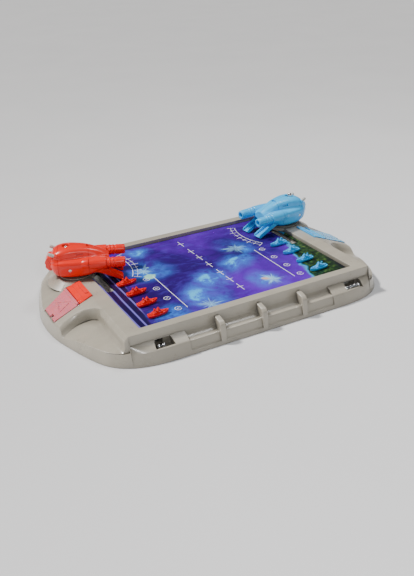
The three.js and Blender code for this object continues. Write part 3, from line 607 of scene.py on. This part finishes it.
def scoop(s):
    """Concave bowl in front of an end deck, as a solid to cut away.

    Its skin hangs on upright ribs. They follow the end of the rim, then the ridge of the deck, then
    they go round outside the case. Each runs down to its foot and on to the bowl's lowest point.
    """
    wall = [(-131.5, 5, 17.5), (-124, 14, 17), (-110, 25, 16.8), (-92, 27, 16.3), (-76, 18, 17.3),
            (-62, 9, 18.6), (-53, 4, 19.3)]  # y, reach, foot z
    ridge = [(189.5, -47, 192.5, -43, 19.2), (194, -38, 197, -36, 18), (202, -30, 204, -31.5, 16.2),
             (212, -25, 215, -31.5, 14), (222, -23, 226, -35, 11.4), (233, -23.5, 236, -40, 8.8),
             (245, -26, 247, -48, 6.5), (262, -30, 262, -58, 5)]  # top x, y, foot x, y, z
    outside = [(264, -75, 8.5), (258, -98, 14), (248, -118, 16.6), (232, -138, 17.2), (214, -154, 17.4),
               (187, -166, 17.6), (187, -133.5, 17.6)]  # foot x, y, z
    lowest = Vector((245, -90, 12.6))
    above, shoulder, steps = 60, 33, 4

    def bottom(foot):
        return [tuple(Vector(foot).lerp(lowest, t)) for t in (0.3, 0.65, 0.97)]
    ribs = []
    for y, r, z in wall:
        curve = [(187, y, RIM_Z), (191.5, y, shoulder)] + [
            (191.5 + reach * r, y, lerp(shoulder, z, drop))
            for reach, drop in ((0.05, 0.5), (0.22, 0.82), (0.6, 0.96), (1, 1))]
        ribs.append([(187, y, above)] + spline(curve + bottom(curve[-1]), steps))
    for qx, qy, px, py, pz in ridge:
        top = deck_z(qx) - 0.4
        curve = [(lerp(qx, px, out), lerp(qy, py, out), lerp(top, pz, drop))
                 for out, drop in ((0, 0), (0.22, 0.12), (0.45, 0.4), (0.62, 0.7), (0.8, 0.92), (1, 1))]
        ribs.append([(qx, qy, above)] + spline(curve + bottom(curve[-1]), steps))
    columns = list(zip(*[spline(level, 5) for level in zip(*ribs)]))
    for x, y, z in outside:  # as many points as a rib, straight down
        upright = [(x, y, above)] + [(x, y, lerp(52, z, k / 20)) for k in range(20)]
        columns.append(upright + spline([(x, y, z)] + bottom((x, y, z)), steps))
    return loft([[(s * x, y, z) for x, y, z in level] for level in list(zip(*columns))[::-1]])


def bays(s):
    """Hand-hold pockets between the ribs of one long side."""
    hollow = spline([(132.5, 26), (133.6, 22.4), (136.4, 19.6), (140.4, 18), (144.6, 17.4)], 4)
    lip = rounded([(144.6, 17.4), (146.8, 16.8), (149.6, 6), (152.4, 4.4), (162, 4.4)], 1.3, 4)[5:-5]
    profile = hollow + lip + [(162, 4.4), (162, 42), (132.5, 42)]
    stops, out = [-111, *RIBS, 114], []
    for i in range(len(stops) - 1):
        a = stops[i] + (RIB_W / 2 if i else 0)
        b = stops[i + 1] - (RIB_W / 2 if i < len(stops) - 2 else 0)
        out.append(prism("x", [(s * y, z) for y, z in profile], a, b))
    return out


def rib(s, x):
    """Upright rib with eased edges."""
    profile = [(130, 33.6), (133.2, 33.6), (145.8, 30.6), (149.6, 27), (150.6, 17), (152.9, 0.2), (130, 0.2)]
    mid_y, mid_z, pts = 140, 15, []  # the faces shrink towards this point
    for side, inset in ((-RIB_W / 2, 1.2), (-RIB_W / 2 + 0.35, 0.35), (-RIB_W / 2 + 1.2, 0),
                        (RIB_W / 2 - 1.2, 0), (RIB_W / 2 - 0.35, 0.35), (RIB_W / 2, 1.2)):
        k = 1 - inset / 24
        for y, z in rounded(profile, 2.2, 4):
            y = mid_y + (y - mid_y) * k if y > 133 else y
            z = mid_z + (z - mid_z) * k if z > 5 else z
            pts.append((x + side, s * y, z))
    return hull(pts)


def slab(s, poly, lo, hi):
    """Slab that follows the deck's slope; lo and hi are measured from the deck."""
    return loft([[(s * x, y, deck_z(x) + h) for x, y in poly] for h in (lo, hi)])


def inside_space():
    """The hollow under the case's skin, round the towers and wells that stand in it."""
    low, floor = ring_at(8, -1), -1
    corners = [(x, y, 21) for x in (-184, 184) for y in (-129, 129)]
    spaces = [hull([*low, *ring_at(10.5, 10), *corners]), box(-184.5, 184.5, -129.5, 129.5, floor, 28.6)]
    for s in (-1, 1):
        rear = [p for p in low + ring_at(13, 10) if p[0] * s > 176 and p[1] > -8]
        top = [(s * x, y, 35.5) for x, y in ((178, 128), (178, 0), (187, 0), (187, 126))]
        spaces.append(hull(rear + top))
    keep = [end_box(s, 181, 262, -160, -20, -2, 40) for s in (-1, 1)]
    keep += [box(x0 - WALL, x1 + WALL, -149, -121, 6, 29) for x0, x1, _, _ in WINDOWS]
    for s in (-1, 1):
        x0, x1, y0, y1, bottom = STORE
        keep += [end_box(s, x0 - WALL, x1 + WALL, y0 - WALL, y1 + WALL, bottom - 2, 40),
                 rod((s * PIVOT_X, PIVOT_Y, 14), (s * PIVOT_X, PIVOT_Y, 40), 13)]
        keep += [rod((s * SCREW_X, y, 3.4), (s * SCREW_X, y, 30), 4.5) for y in (SCREW_Y, -SCREW_Y)]
    return cut(join(spaces), keep)


def pivot_boss(s, space):
    """Round boss under a turret, and its foot that runs out over the sloping deck."""
    x, y = s * PIVOT_X, PIVOT_Y
    boss = turned([(0, 34.2), (BOSS_R, 34.2), (BOSS_R, RIM_Z - 0.6), (BOSS_R - 0.2, RIM_Z - 0.2),
                   (BOSS_R - 0.6, RIM_Z), (0, RIM_Z)], (x, y, 0), seg=96)
    cone = rod((x, y, 22), (x, y, RIM_Z), 56, BOSS_R, 96)
    return [boss, common(cone, cut(end_box(s, DECK_X, 225, 30, 126, 30, 40), copy(space)))]


def window_holes(x0, x1, in0, in1):
    """Ball tray with its front window, and the passage that the balls come in by."""
    low, high = [(x0 + 1, TRAY_Z), (x1 - 1, TRAY_Z)], [(x1 - 3, 25.5), (x0 + 3, 25.5)]
    front = rounded([*low, (x1 - 1, 24), (x0 + 1, 24)], 1.2, 3)
    rear = rounded([*low, *high], 1.2, 3)
    return [loft([[(x, y, z) for x, z in ring] for y, ring in ((-144.4, front), (-131, rear))]),
            box(in0, in1, -134, -118, TRAY_Z + 0.4, 25), box(x0 + 1, x1 - 1, -156, -144, SILL_Z, 24)]


def end_holes(s):
    """Wells of the hatch and its hinge, the store, the pivot's bore and the screw holes of one end."""
    x0, x1, y0, y1, bottom = STORE
    holes = [slab(s, well, -2.6, 12) for well in (LID_WELL, grow(BLOCK, GAP), HINGE_SLOT)]
    holes.append(end_box(s, x0, x1, y0, y1, bottom, 40))
    holes += [rod((s * HINGE_X, HINGE_Y0 - past, HINGE_Z), (s * HINGE_X, HINGE_Y1 + past, HINGE_Z), r)
              for past, r in ((4, 1.1), (0.4, 3.2))]
    holes.append(rod((s * PIVOT_X, PIVOT_Y, 10), (s * PIVOT_X, PIVOT_Y, 45), 9.2))
    holes += [rod((s * SCREW_X, y, 1), (s * SCREW_X, y, 14), 1.7) for y in (SCREW_Y, -SCREW_Y)]
    return holes


def frame_shell():
    """The case: its outer form, less the bays, bowls, hollow, board recess and wells."""
    ledge = hull([p for d, z in [*LIP, (6.6, EDGE_Z + 0.3), (7.6, EDGE_Z + 0.55)] for p in ring_at(d, z)]
                 + [(x, y, LEDGE_Z) for x in (-RIM_X, RIM_X) for y in (-RIM_Y, RIM_Y)])
    eased = [(0, 1), (0, RIM_Z - 1.1), (0.1, RIM_Z - 0.6), (0.45, RIM_Z - 0.15), (1.1, RIM_Z)]
    rim = hull([(x, math.copysign(RIM_Y - d, y), z) for x in (-RIM_X, RIM_X) for y in (-1, 1)
                for d, z in eased])
    body = join(ledge, rim, deck_body(1), deck_body(-1))
    body = cut(body, bays(1), bays(-1))
    body = join(body, [rib(s, x) for x in RIBS for s in (-1, 1)])
    body = cut(body, scoop(1), scoop(-1))
    space = inside_space()
    bosses = pivot_boss(-1, space) + pivot_boss(1, space)
    body = cut(body, space)
    edge = [(0, FIELD_FLOOR), (0, RIM_Z - 0.8), (0.25, RIM_Z - 0.25), (0.8, RIM_Z), (0.8, 45)]
    recess = loft([[(sx * (FIELD_X + d), sy * (FIELD_Y + d), z)
                    for sx, sy in ((-1, -1), (1, -1), (1, 1), (-1, 1))] for d, z in edge])
    body = cut(body, recess, box(4 - FIELD_X, FIELD_X - 4, 4 - FIELD_Y, FIELD_Y - 4, 25, 45))
    body = join(body, bosses)
    return cut(body, *(window_holes(*w) for w in WINDOWS), end_holes(-1), end_holes(1))


piece(frame_shell(), "frame_shell_fine", "case", "frame", "frame_shell", sharp=28)
keep_node("base_cover", "frame", 0.3)
keep_node("gutter_left", "grey", 0.2)
keep_node("gutter_right", "grey", 0.2)
keep_node("playfield_board", "print", 0.15)


# ---------------- printed marks
def stroke(points, width, z=INK_Z):
    """Flat printed line of even width along a path."""
    pts, left, right = [Vector(p) for p in points], [], []
    for i, p in enumerate(pts):
        t = (pts[min(i + 1, len(pts) - 1)] - pts[max(i - 1, 0)]).normalized()
        n = Vector((-t.y, t.x)) * width / 2
        left.append(p + n)
        right.append(p - n)
    return prism("z", [tuple(p) for p in left + right[::-1]], z, z + 0.03)


def polar(cx, cy, r, angle):
    return cx + r * math.cos(math.radians(angle)), cy + r * math.sin(math.radians(angle))


def arc(cx, cy, r, a0, a1):
    return [polar(cx, cy, r, lerp(a0, a1, k / 24)) for k in range(25)]


marks = []
for y in (92, 59, 33, 4, -27, -53, -81):  # dashed centre line, a cross tick on each dash
    x = 1 + 0.02 * (50 - y)
    marks += [stroke([(x - 0.2, y + 10.5), (x + 0.2, y - 10.5)], 0.9),
              stroke([(x - 5, y), (x + 5, y)], 0.8, OVER_Z)]
for s in (-1, 1):
    marks.append(stroke([(s * 86, 12), (s * 86, -95)], 0.9))
    for y in (8, -25, -58, -91):  # target marks beside the ships
        marks += [stroke(arc(s * 98, y, 4.4, 15, 345), 0.75),
                  stroke([(s * 98 - 1.7, y), (s * 98 + 1.7, y)], 1.1)]
    turret, start = (s * PIVOT_X, PIVOT_Y), (-32 if s < 0 else 156)
    for r, width in ((81, 0.9), (88, 0.5)):  # aiming arcs round the turret, with ticks
        marks.append(stroke(arc(*turret, r, start, start + 56), width))
    for k in range(9):
        tick = [polar(*turret, r, start + 7 * k) for r in (83, 91 if k % 2 else 94)]
        marks.append(stroke(tick, 0.7, OVER_Z))
piece(gather(marks), "board_marks", "case", "ink")


# ---------------- screws, balls, pins
def cross_recess(size, depth):
    """Tool for a cross-head recess at the origin, pointing down -Z."""
    bar = [(-size, -size * 0.2), (size, -size * 0.2), (size, size * 0.2), (-size, size * 0.2)]
    levels = [[(x * k, y * k, z) for x, y in bar] for k, z in ((0.45, -depth), (1, 0.05), (1, 0.6))]
    return join([moved(loft(levels), Matrix.Rotation(angle, 4, "Z")) for angle in (0, math.pi / 2)])


def screw(head_r, head_h, shank_r, length, at, direction):
    """Cross-head screw; `at` is the top of its head and `direction` points down its shank."""
    body = turned([(0, 0), (head_r * 0.7, 0), (head_r * 0.92, -head_h * 0.18), (head_r, -head_h * 0.5),
                   (shank_r, -head_h), (shank_r, -length + 1.4), (shank_r * 0.3, -length), (0, -length)],
                  seg=32)
    body = cut(body, cross_recess(head_r * 0.55, head_h * 0.75))
    turn = Vector((0, 0, -1)).rotation_difference(Vector(direction)).to_matrix().to_4x4()
    return moved(body, Matrix.Translation(at) @ turn)


for i, (s, t) in enumerate(((-1, 1), (1, 1), (-1, -1), (1, -1))):
    piece(screw(3, 1.2, 1.4, 13, (s * SCREW_X, t * SCREW_Y, 0.4), (0, 0, 1)),
          f"cover_screw_{i + 1}_fine", "case", "wire", f"cover_screw_{i + 1}")
for side, x, count in (("left", -150, 2), ("right", 145.2, 4)):
    row = [ball(x + BALL_PITCH * k, -138.5, TRAY_Z + BALL_R + 0.05) for k in range(count)]
    piece(gather(row), f"window_balls_{side}_fine", f"window_load_{side}", "steel",
          f"window_balls_{side}")


# ---------------- ships
SHIP_HULL = [  # x, half width, deck height, keel height
    (-15, 2.4, 4.2, 1.4), (-14.4, 3.4, 4.2, 0.5), (-13, 4.3, 4.2, 0), (-8, 4.9, 4.2, 0), (0, 5, 4.2, 0),
    (6, 4.6, 4.4, 0), (10, 3.4, 4.7, 0.1), (12.6, 2.0, 5.0, 0.5), (14.4, 0.8, 5.3, 1.4), (15, 0.3, 5.4, 2.0)]


def ship():
    """Warship model, keel on z = 0, bow towards +X."""
    rings, deck = [], []
    for x, w, h, k in SHIP_HULL:
        half = [(w, h), (w * 0.98, lerp(k, h, 0.6)), (w * 0.86, lerp(k, h, 0.25)), (w * 0.6, k)]
        rings.append([(x, y, z) for y, z in half] + [(x, -y, z) for y, z in half[::-1]])
        if abs(x) < 13.5:
            deck.append([(x, y, h + rise) for y, rise in ((w - 0.5, 1), (w - 0.5, -0.45), (0.5 - w, -0.45),
                                                          (0.5 - w, 1))])
    body = cut(loft(rings), loft(deck))
    parts = [pad(-8.4, 5.2, -3.1, 3.1, 3.4, 6.2), pad(-6.4, 2.8, -2.4, 2.4, 6, 8),
             pad(-1.6, 1.9, -1.9, 1.9, 7.8, 10), pad(-0.6, 1.2, -1.3, 1.3, 9.8, 10.8, 0.2),
             turned([(0, 3.5), (1.8, 3.5), (1.8, 5.2), (1.4, 5.9), (0, 5.9)], (8.4, 0, 0), seg=20),
             turned([(0, 3.5), (1.7, 3.5), (1.7, 5), (1.3, 5.6), (0, 5.6)], (-11, 0, 0), seg=20),
             turned([(0, 7.5), (1.35, 7.5), (1.15, 10.4), (1.3, 10.8), (0, 10.8)], (-4.4, 0, 0),
                    (-0.1, 0, 1), 20),
             turned([(0, 9.5), (0.5, 9.5), (0.32, 12), (0, 12)], (0.2, 0, 0), seg=12)]
    for y in (-0.7, 0.7):  # gun barrels of the two turrets
        parts += [rod((8.6, y, 5.1), (12.4, y, 5.7), 0.38, 0.34, 10),
                  rod((-11.4, y, 4.9), (-14.2, y, 5.3), 0.34, 0.3, 10)]
    parts.append(box(-0.1, 0.5, -1.5, 1.5, 11.1, 11.5))
    boat = [(0, -1.3), (0.55, -0.7), (0.62, 0), (0.55, 0.7), (0, 1.3)]
    parts += [turned(boat, (x, y, 6.5), (1, 0, 0), 10) for x in (-5.4, -2.2) for y in (-2.85, 2.85)]
    ports = [rod((x, side * 2.2, 7.1), (x, side * 2.6, 7.1), 0.28, seg=8)
             for x in (-4.8, -3.2, -1.6, 0, 1.6) for side in (-1, 1)]
    return cut(join(body, parts), ports)


def facing(x, y, z, angle):
    return Matrix.Translation((x, y, z)) @ Matrix.Rotation(angle, 4, "Z")


master = ship()
for team, s in TEAMS:
    turn, slot = (0.06 if s < 0 else math.pi + 0.06), f"{team}_plastic"
    for i, y in enumerate(SHIP_Y):
        piece(copy(master), f"{team}_ship_{i + 1}_fine", f"{team}_ship_{i + 1}_body", team,
              f"{team}_ship_{i + 1}", facing(s * SHIP_X, y, FIELD_TOP + 0.06, turn))
    piece(copy(master), f"{team}_spare_ship_fine", "case", team, f"{team}_spare_ship",
          facing(s * 216, 5.5, STORE[4] + 0.05, math.pi / 2))
    places = range(0 if s < 0 else 1, 4)
    row = [ball(s * 230, 15 - BALL_PITCH * k, STORE[4] + BALL_R + 0.05) for k in places]
    piece(gather(row), f"{team}_spare_balls_fine", "case", "steel", f"{team}_spare_balls")
bpy.data.objects.remove(master)


# ---------------- hatches
for team, _ in TEAMS:
    keep_node(f"{team}_hatch_block", team, 0.35)
    keep_node(f"{team}_hatch_lid", f"{team}_lid", 0.12)
    keep_node(f"{team}_hatch_pin", "wire", 0.1)


# ---------------- guns
STATIONS = [  # u, bottom, top, flank half width, dome half width, shoulder height
    (-33, 54, 69.5, 15, 12, 62), (-29, 47.5, 76.5, 20.5, 17.5, 65), (-24, 44, 80.4, 24, 19.4, 66.6),
    (-16, 42.2, 83, 26.2, 19.6, 67.2), (-4, 41.5, 84, 27.2, 18, 67.6), (8, 41.8, 83.4, 27.6, 15.6, 67.8),
    (18, 43, 82, 27.8, 14, 67.8), (26, 45, 79.8, 27.8, 13, 67.6), (33, 47.4, 77.2, 27.6, 12, 67.2),
    (42, 51.6, 73, 27, 10, 66), (49, 55, 68.6, 25.4, 8, 63.4)]
TAIL = [(-40, 55), (-40.6, 63.5), (-36.5, 70.5), (-27, 70.5), (-27, 51.5), (-35.5, 51.5)]
FORWARD, UP = (1, 0, 0), (0, 0, 1)
DIP = Vector((math.cos(math.radians(TIP_ANGLE)), 0, -math.sin(math.radians(TIP_ANGLE))))  # plungers' way

# turned parts, as (radius, distance along the axis)
POD = [(0, 8), (3, 8.8), (4.5, 10), (6, 12.4), (7, 15), (7.5, 19), (7.8, 24), (8.2, 32), (8.2, 44.6),
       (8, 45.4), (7.4, 46), (0, 46)]
HOPPER = [(0, 74.5), (2, 74.5), (4.4, 76.2), (5, 77.6), (5, 82.2), (5.5, 83.2), (6.6, 84.2), (7, 90), (0, 90)]
BARREL = [(3.9, 34), (5.5, 34), (5.5, 46.3), (6.8, 46.4), (7, 46.7), (7, 48.5), (7.5, 48.9), (7.6, 49.2),
          (7.6, 50.8), (7.4, 51.2), (6.9, 51.6), (6.9, 53.4), (7.4, 53.8), (7.5, 54.2), (7.5, 55.8),
          (7.3, 56.2), (6.8, 56.6), (6.8, 58.4), (7.3, 58.8), (7.4, 59.4), (7.1, 69), (6.9, 70.4),
          (6.5, 71.6), (5.9, 72), (4.4, 72), (4, 71.4), (3.9, 70.6)]
PLUNGER = [(0, 0), (1.5, 0.02), (2.05, 0.3), (2.35, 0.8), (2.4, 1.4), (2.4, 4.6), (2.15, 4.8), (2.15, 5.2),
           (2.4, 5.4), (2.4, 13.2), (3.5, 13.5), (3.5, 15.2), (1.4, 15.3), (1.4, 39.6), (0.9, 40.4),
           (0, 40.4)]
SEAT = [(9.3, 39.1), (23.4, 39.1), (23.8, 39.25), (24, 39.6), (24, 40.4), (23.8, 40.75), (23.4, 40.9),
        (9.3, 40.9)]
POST = [(0, 12), (12, 12), (12, 13.6), (9, 13.7), (9, 47.7), (12.3, 47.7), (12.5, 48), (12.5, 49.2),
        (11, 50), (0, 50)]


def section(station, inset):
    """Outline of the gun across its length, made smaller by inset."""
    u, zb, zt, wf, wd, zs = station
    zb, zt, wf, wd = zb + inset, zt - inset, wf - inset, wd - inset
    half = [(wf * 0.5, zb), (wf * 0.76, zb + 1.4), (wf * 0.93, min(zb + 5.6, zs - 5)),
            (wf, min(max(zb + 7, zs - 8), zs - 3.4)), (wf - 0.7, zs - 2.4), (wf - 3.2, zs),
            (wd + 1, zs + 1.3), (wd, zs + 3), (wd - 1.2, max(zt - 5, zs + 3.6)),
            (wd * 0.68, max(zt - 1.4, zs + 4.4)),
            (wd * 0.25, max(zt, zs + 5))]
    ring = half + [(-v, z) for v, z in half[::-1]]
    return [(u, v, z) for v, z in rounded(ring, 2.4, 3)]


def gun_skin(inset=0.0):
    return loft([section(st, inset) for st in spline(STATIONS, 6)])


def along(d, side):
    """Point of a plunger's axis, at a distance d from its tip."""
    return Vector((TIP_U, side * TIP_V, TIP_Z)) + DIP * d


def gun_body():
    """Both halves of a gun in one, still solid."""
    pods = [turned(POD, (0, s * BARREL_V, BARREL_Z), FORWARD, 56) for s in (-1, 1)]
    bosses = [rod(along(9.2, s), along(18, s), 4.7, 5.6) for s in (-1, 1)]
    body = join(gun_skin(), pods, bosses)
    grooves = [box(u, u + 0.7, -40, 40, 38, 90) for u in (-21.5, 21.2)]
    return cut(body, [cut(g, gun_skin(0.55)) for g in grooves])


def gun_shell(body, side):
    """Left (side 1) or right (side -1) half of a gun, hollow, with its bores and screw posts."""
    tail = [(u + math.copysign(GAP, u + 33), z + math.copysign(GAP, z - 61)) for u, z in TAIL]
    corners = ((-21, 19, 46.4), (27, 21, 47.4), (-21, 20, 57), (27, 22, 60))
    space = [(u, s * v, z) for u, v, z in corners for s in (-1, 1)]
    tools = [prism("y", tail, -12.3, 12.3), hull(space), rod((0, 0, 38), (0, 0, 48), 9.6),
             box(23, 60, -22.9, 22.9, 40, 56.8), turned(HOPPER, (-10, 0, 0), UP, 48),
             box(19, 23, -4, 4, 79.2, 90)]
    for s in (-1, 1):
        slit = [(4, 14.2, 73.4), (14, 12.6, 73.4), (4, 13.6, 77), (14, 12, 77), (4, 22, 74), (14, 22, 74),
                (4, 22, 78), (14, 22, 78)]
        tools.append(hull([(u, s * v, z) for u, v, z in slit]))
        for u0, radius in ((33, 5.8), (46, 8.2)):
            tools.append(rod((u0, s * BARREL_V, BARREL_Z), (60, s * BARREL_V, BARREL_Z), radius))
        for d0, d1, radius in ((6, 15, 2.8), (13, 38, 3.9), (37, 52, 2)):
            tools.append(rod(along(d0, s), along(d1, s), radius))
    out = cut(copy(body), tools)
    posts = [common(rod((u, -23, z), (u, 23, z), 4.2), box(-40, 40, -23, 23, 30, 90))
             for u, z in ((-5, 55), (-14, 56))]
    out = cut(join(out, posts), rod((-5, -30, 55), (-5, 12, 55), 1.6), rod((-5, -30, 55), (-5, -25.6, 55), 3),
              rod((-14, -12, 56), (-14, 30, 56), 1.6), rod((-14, 24.8, 56), (-14, 30, 56), 3))
    half = (GAP / 2, 40) if side > 0 else (-40, -GAP / 2)
    return common(out, box(-60, 80, *half, 30, 95))


def gun_barrel(side):
    return turned(BARREL, (0, side * BARREL_V, BARREL_Z), FORWARD)


def gun_chutes():
    """Two open chutes, joined by a bar at their upper ends."""
    side = [(30, 50), (36, 47.4), (65.6, 34.3), (67.6, 35.6), (67, 39.4), (37, 54.8), (30, 55.8)]
    inside = [(28, 52.8), (36.6, 49.2), (70, 35), (72, 44), (36, 62), (28, 62)]
    rim = [(34, 58), (34, 54.4), (38, 53.2), (67.6, 38), (70, 44)]
    parts = [cut(prism("y", rounded(side, 0.9, 3), mid - 7, mid + 7), prism("y", inside, mid - 5, mid + 5),
                 [prism("y", rim, mid + t - 0.4, mid + t + 0.4) for t in (-7, 7)]) for mid in (-15, 15)]
    return join(parts, box(28.4, 33, -21.4, 21.4, 48.2, 52.4))


def gun_tail():
    groove = prism("y", [(-44, 58), (-39.2, 58.6), (-39.2, 60.4), (-44, 61)], -20, 20)
    corner = ((-42, 9), (-42, 20), (-34, 12.2), (-34, 20))
    trim = [hull([(u, s * v, z) for z in (40, 90) for u, v in corner]) for s in (-1, 1)]
    fins = [box(-44, -40.1, v - 0.4, v + 0.4, 62, 75) for v in (-6, -3, 0, 3, 6)]
    return cut(prism("y", rounded(TAIL, 1.1, 3), -12, 12), groove, trim, fins)


def gun_plunger(side):
    return turned(PLUNGER, along(0, side), DIP, 32)


def gun_spring(side):
    """Coil round a plunger's stem."""
    across = Vector((0, 1, 0))
    over, path = DIP.cross(across), []
    turns, per, coil_r, wire_r = 8, 20, 2.75, 0.42
    for i in range(turns * per + 1):
        a = 2 * math.pi * i / per
        mid = along(lerp(SPRING_START, SPRING_END, i / (turns * per)), side)
        path.append(mid + (across * math.cos(a) + over * math.sin(a)) * coil_r)
    return tube(path, wire_r)


shell_body = gun_body()
for team, s in TEAMS:
    slot, body = f"{team}_plastic", f"{team}_gun"
    stand = Matrix.Translation((s * PIVOT_X, PIVOT_Y, 0))
    aimed = facing(s * PIVOT_X, PIVOT_Y, 0, math.radians(AIM[team]))
    piece(turned(SEAT, seg=80), f"{team}_turret_seat_fine", "case", "frame",
          f"{team}_turret_seat", stand)
    piece(turned(POST, seg=48), f"{team}_pivot_post_fine", "case", "grey",
          f"{team}_pivot_post", stand)
    for side, name in ((1, "left"), (-1, "right")):
        for part, shape in (("shell", gun_shell(shell_body, side)), ("barrel", gun_barrel(side))):
            piece(shape, f"{team}_{part}_{name}_fine", body, team, f"{team}_{part}_{name}", aimed, 38)
        piece(gun_plunger(side), f"{team}_plunger_{name}_fine", f"{team}_plunger_{name}_body", "grey",
              f"{team}_plunger_{name}", aimed)
        coil = piece(gun_spring(side), f"{team}_spring_{name}_fine", body, "wire",
                     f"{team}_spring_{name}", aimed, 60)
        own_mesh(coil)
    for part, shape in (("chutes", gun_chutes()), ("tail_block", gun_tail())):
        piece(shape, f"{team}_{part}_fine", body, team, f"{team}_{part}", aimed)
    for name, at, way in (("right", (-5, -25.8, 55), 1), ("left", (-14, 25, 56), -1)):
        piece(screw(2.6, 1.3, 1.3, 32.4, at, (0, way, 0)), f"{team}_screw_{name}_fine", body, "wire",
              f"{team}_screw_{name}", aimed)
    load = [(-10, 0, 79.3)] if s < 0 else [(-10, -0.4, 79.3), (-10.6, 2.2, 85.2)]
    piece(gather([ball(*at) for at in load]), f"{team}_hopper_balls_fine", f"{team}_hopper_load", "steel",
          f"{team}_hopper_balls", aimed)
bpy.data.objects.remove(shell_body)


# ---------------- floor, light, camera
def floor_material():
    s = Shader("pale floor")
    tone = s.mix(s.noise(3, 4), (0.74, 0.745, 0.76), (0.8, 0.8, 0.81))
    return s.surface(Base_Color=tone, Roughness=s.calc("MULTIPLY_ADD", s.noise(6, 3), 0.1, 0.5))


FLOOR_SIZE, FLOOR_Z = 6, -0.0005  # half width in metres, and just under the case's feet
bm = bmesh.new()
bmesh.ops.create_grid(bm, x_segments=2, y_segments=2, size=FLOOR_SIZE)
floor = solid(bm)
floor.name = "floor"
floor.location.z = FLOOR_Z
floor.data.materials.append(floor_material())


def lamp(data, towards, at=(0, 0, 0)):
    """Light object whose back points towards the given direction."""
    o = bpy.data.objects.new(data.name, data)
    o.location = at
    o.rotation_mode = "QUATERNION"
    o.rotation_quaternion = Vector(towards).to_track_quat("Z", "Y")
    scene.collection.objects.link(o)


def softbox(name, at, size, power, colour):
    """Round area light that looks at the middle of the case."""
    data = bpy.data.lights.new(name, "AREA")
    middle = Vector((0, 0, 0.03))
    data.shape, data.size, data.energy, data.color = "DISK", size, power, colour
    lamp(data, Vector(at) - middle, at)


sun = bpy.data.lights.new("key", "SUN")
sun.energy, sun.angle, sun.color = 4.1, math.radians(8), (1, 0.975, 0.94)
lamp(sun, (-0.55, 0.4, 0.9))
softbox("top", (0.45, 0.1, 1.2), 0.4, 5.5, (1, 1, 1))
softbox("front", (-0.35, -1.15, 0.75), 0.16, 5, (0.97, 0.98, 1))
world = bpy.data.worlds.new("studio")
world.use_nodes = True
sky = world.node_tree.nodes["Background"].inputs
sky["Color"].default_value, sky["Strength"].default_value = (0.9, 0.93, 1, 1), 0.11
scene.world = world

camera = bpy.data.objects.new("camera", bpy.data.cameras.new("camera"))
scene.collection.objects.link(camera)
camera.data.lens, camera.data.sensor_width = 42.96, 36
camera.data.clip_start, camera.data.clip_end = 0.01, 20
camera.location = (-0.4404, -0.8008, 0.4696)
azimuth, elevation, roll = (math.radians(a) for a in (28.545, 27.371, -1.566))
forward = Vector((math.sin(azimuth) * math.cos(elevation), math.cos(azimuth) * math.cos(elevation),
                  -math.sin(elevation)))
right = Vector((math.cos(azimuth), -math.sin(azimuth), 0))
up = right.cross(forward)
side, top = right * math.cos(roll) + up * math.sin(roll), up * math.cos(roll) - right * math.sin(roll)
camera.rotation_mode = "QUATERNION"
camera.rotation_quaternion = Matrix((side, top, -forward)).transposed().to_quaternion()
scene.camera = camera
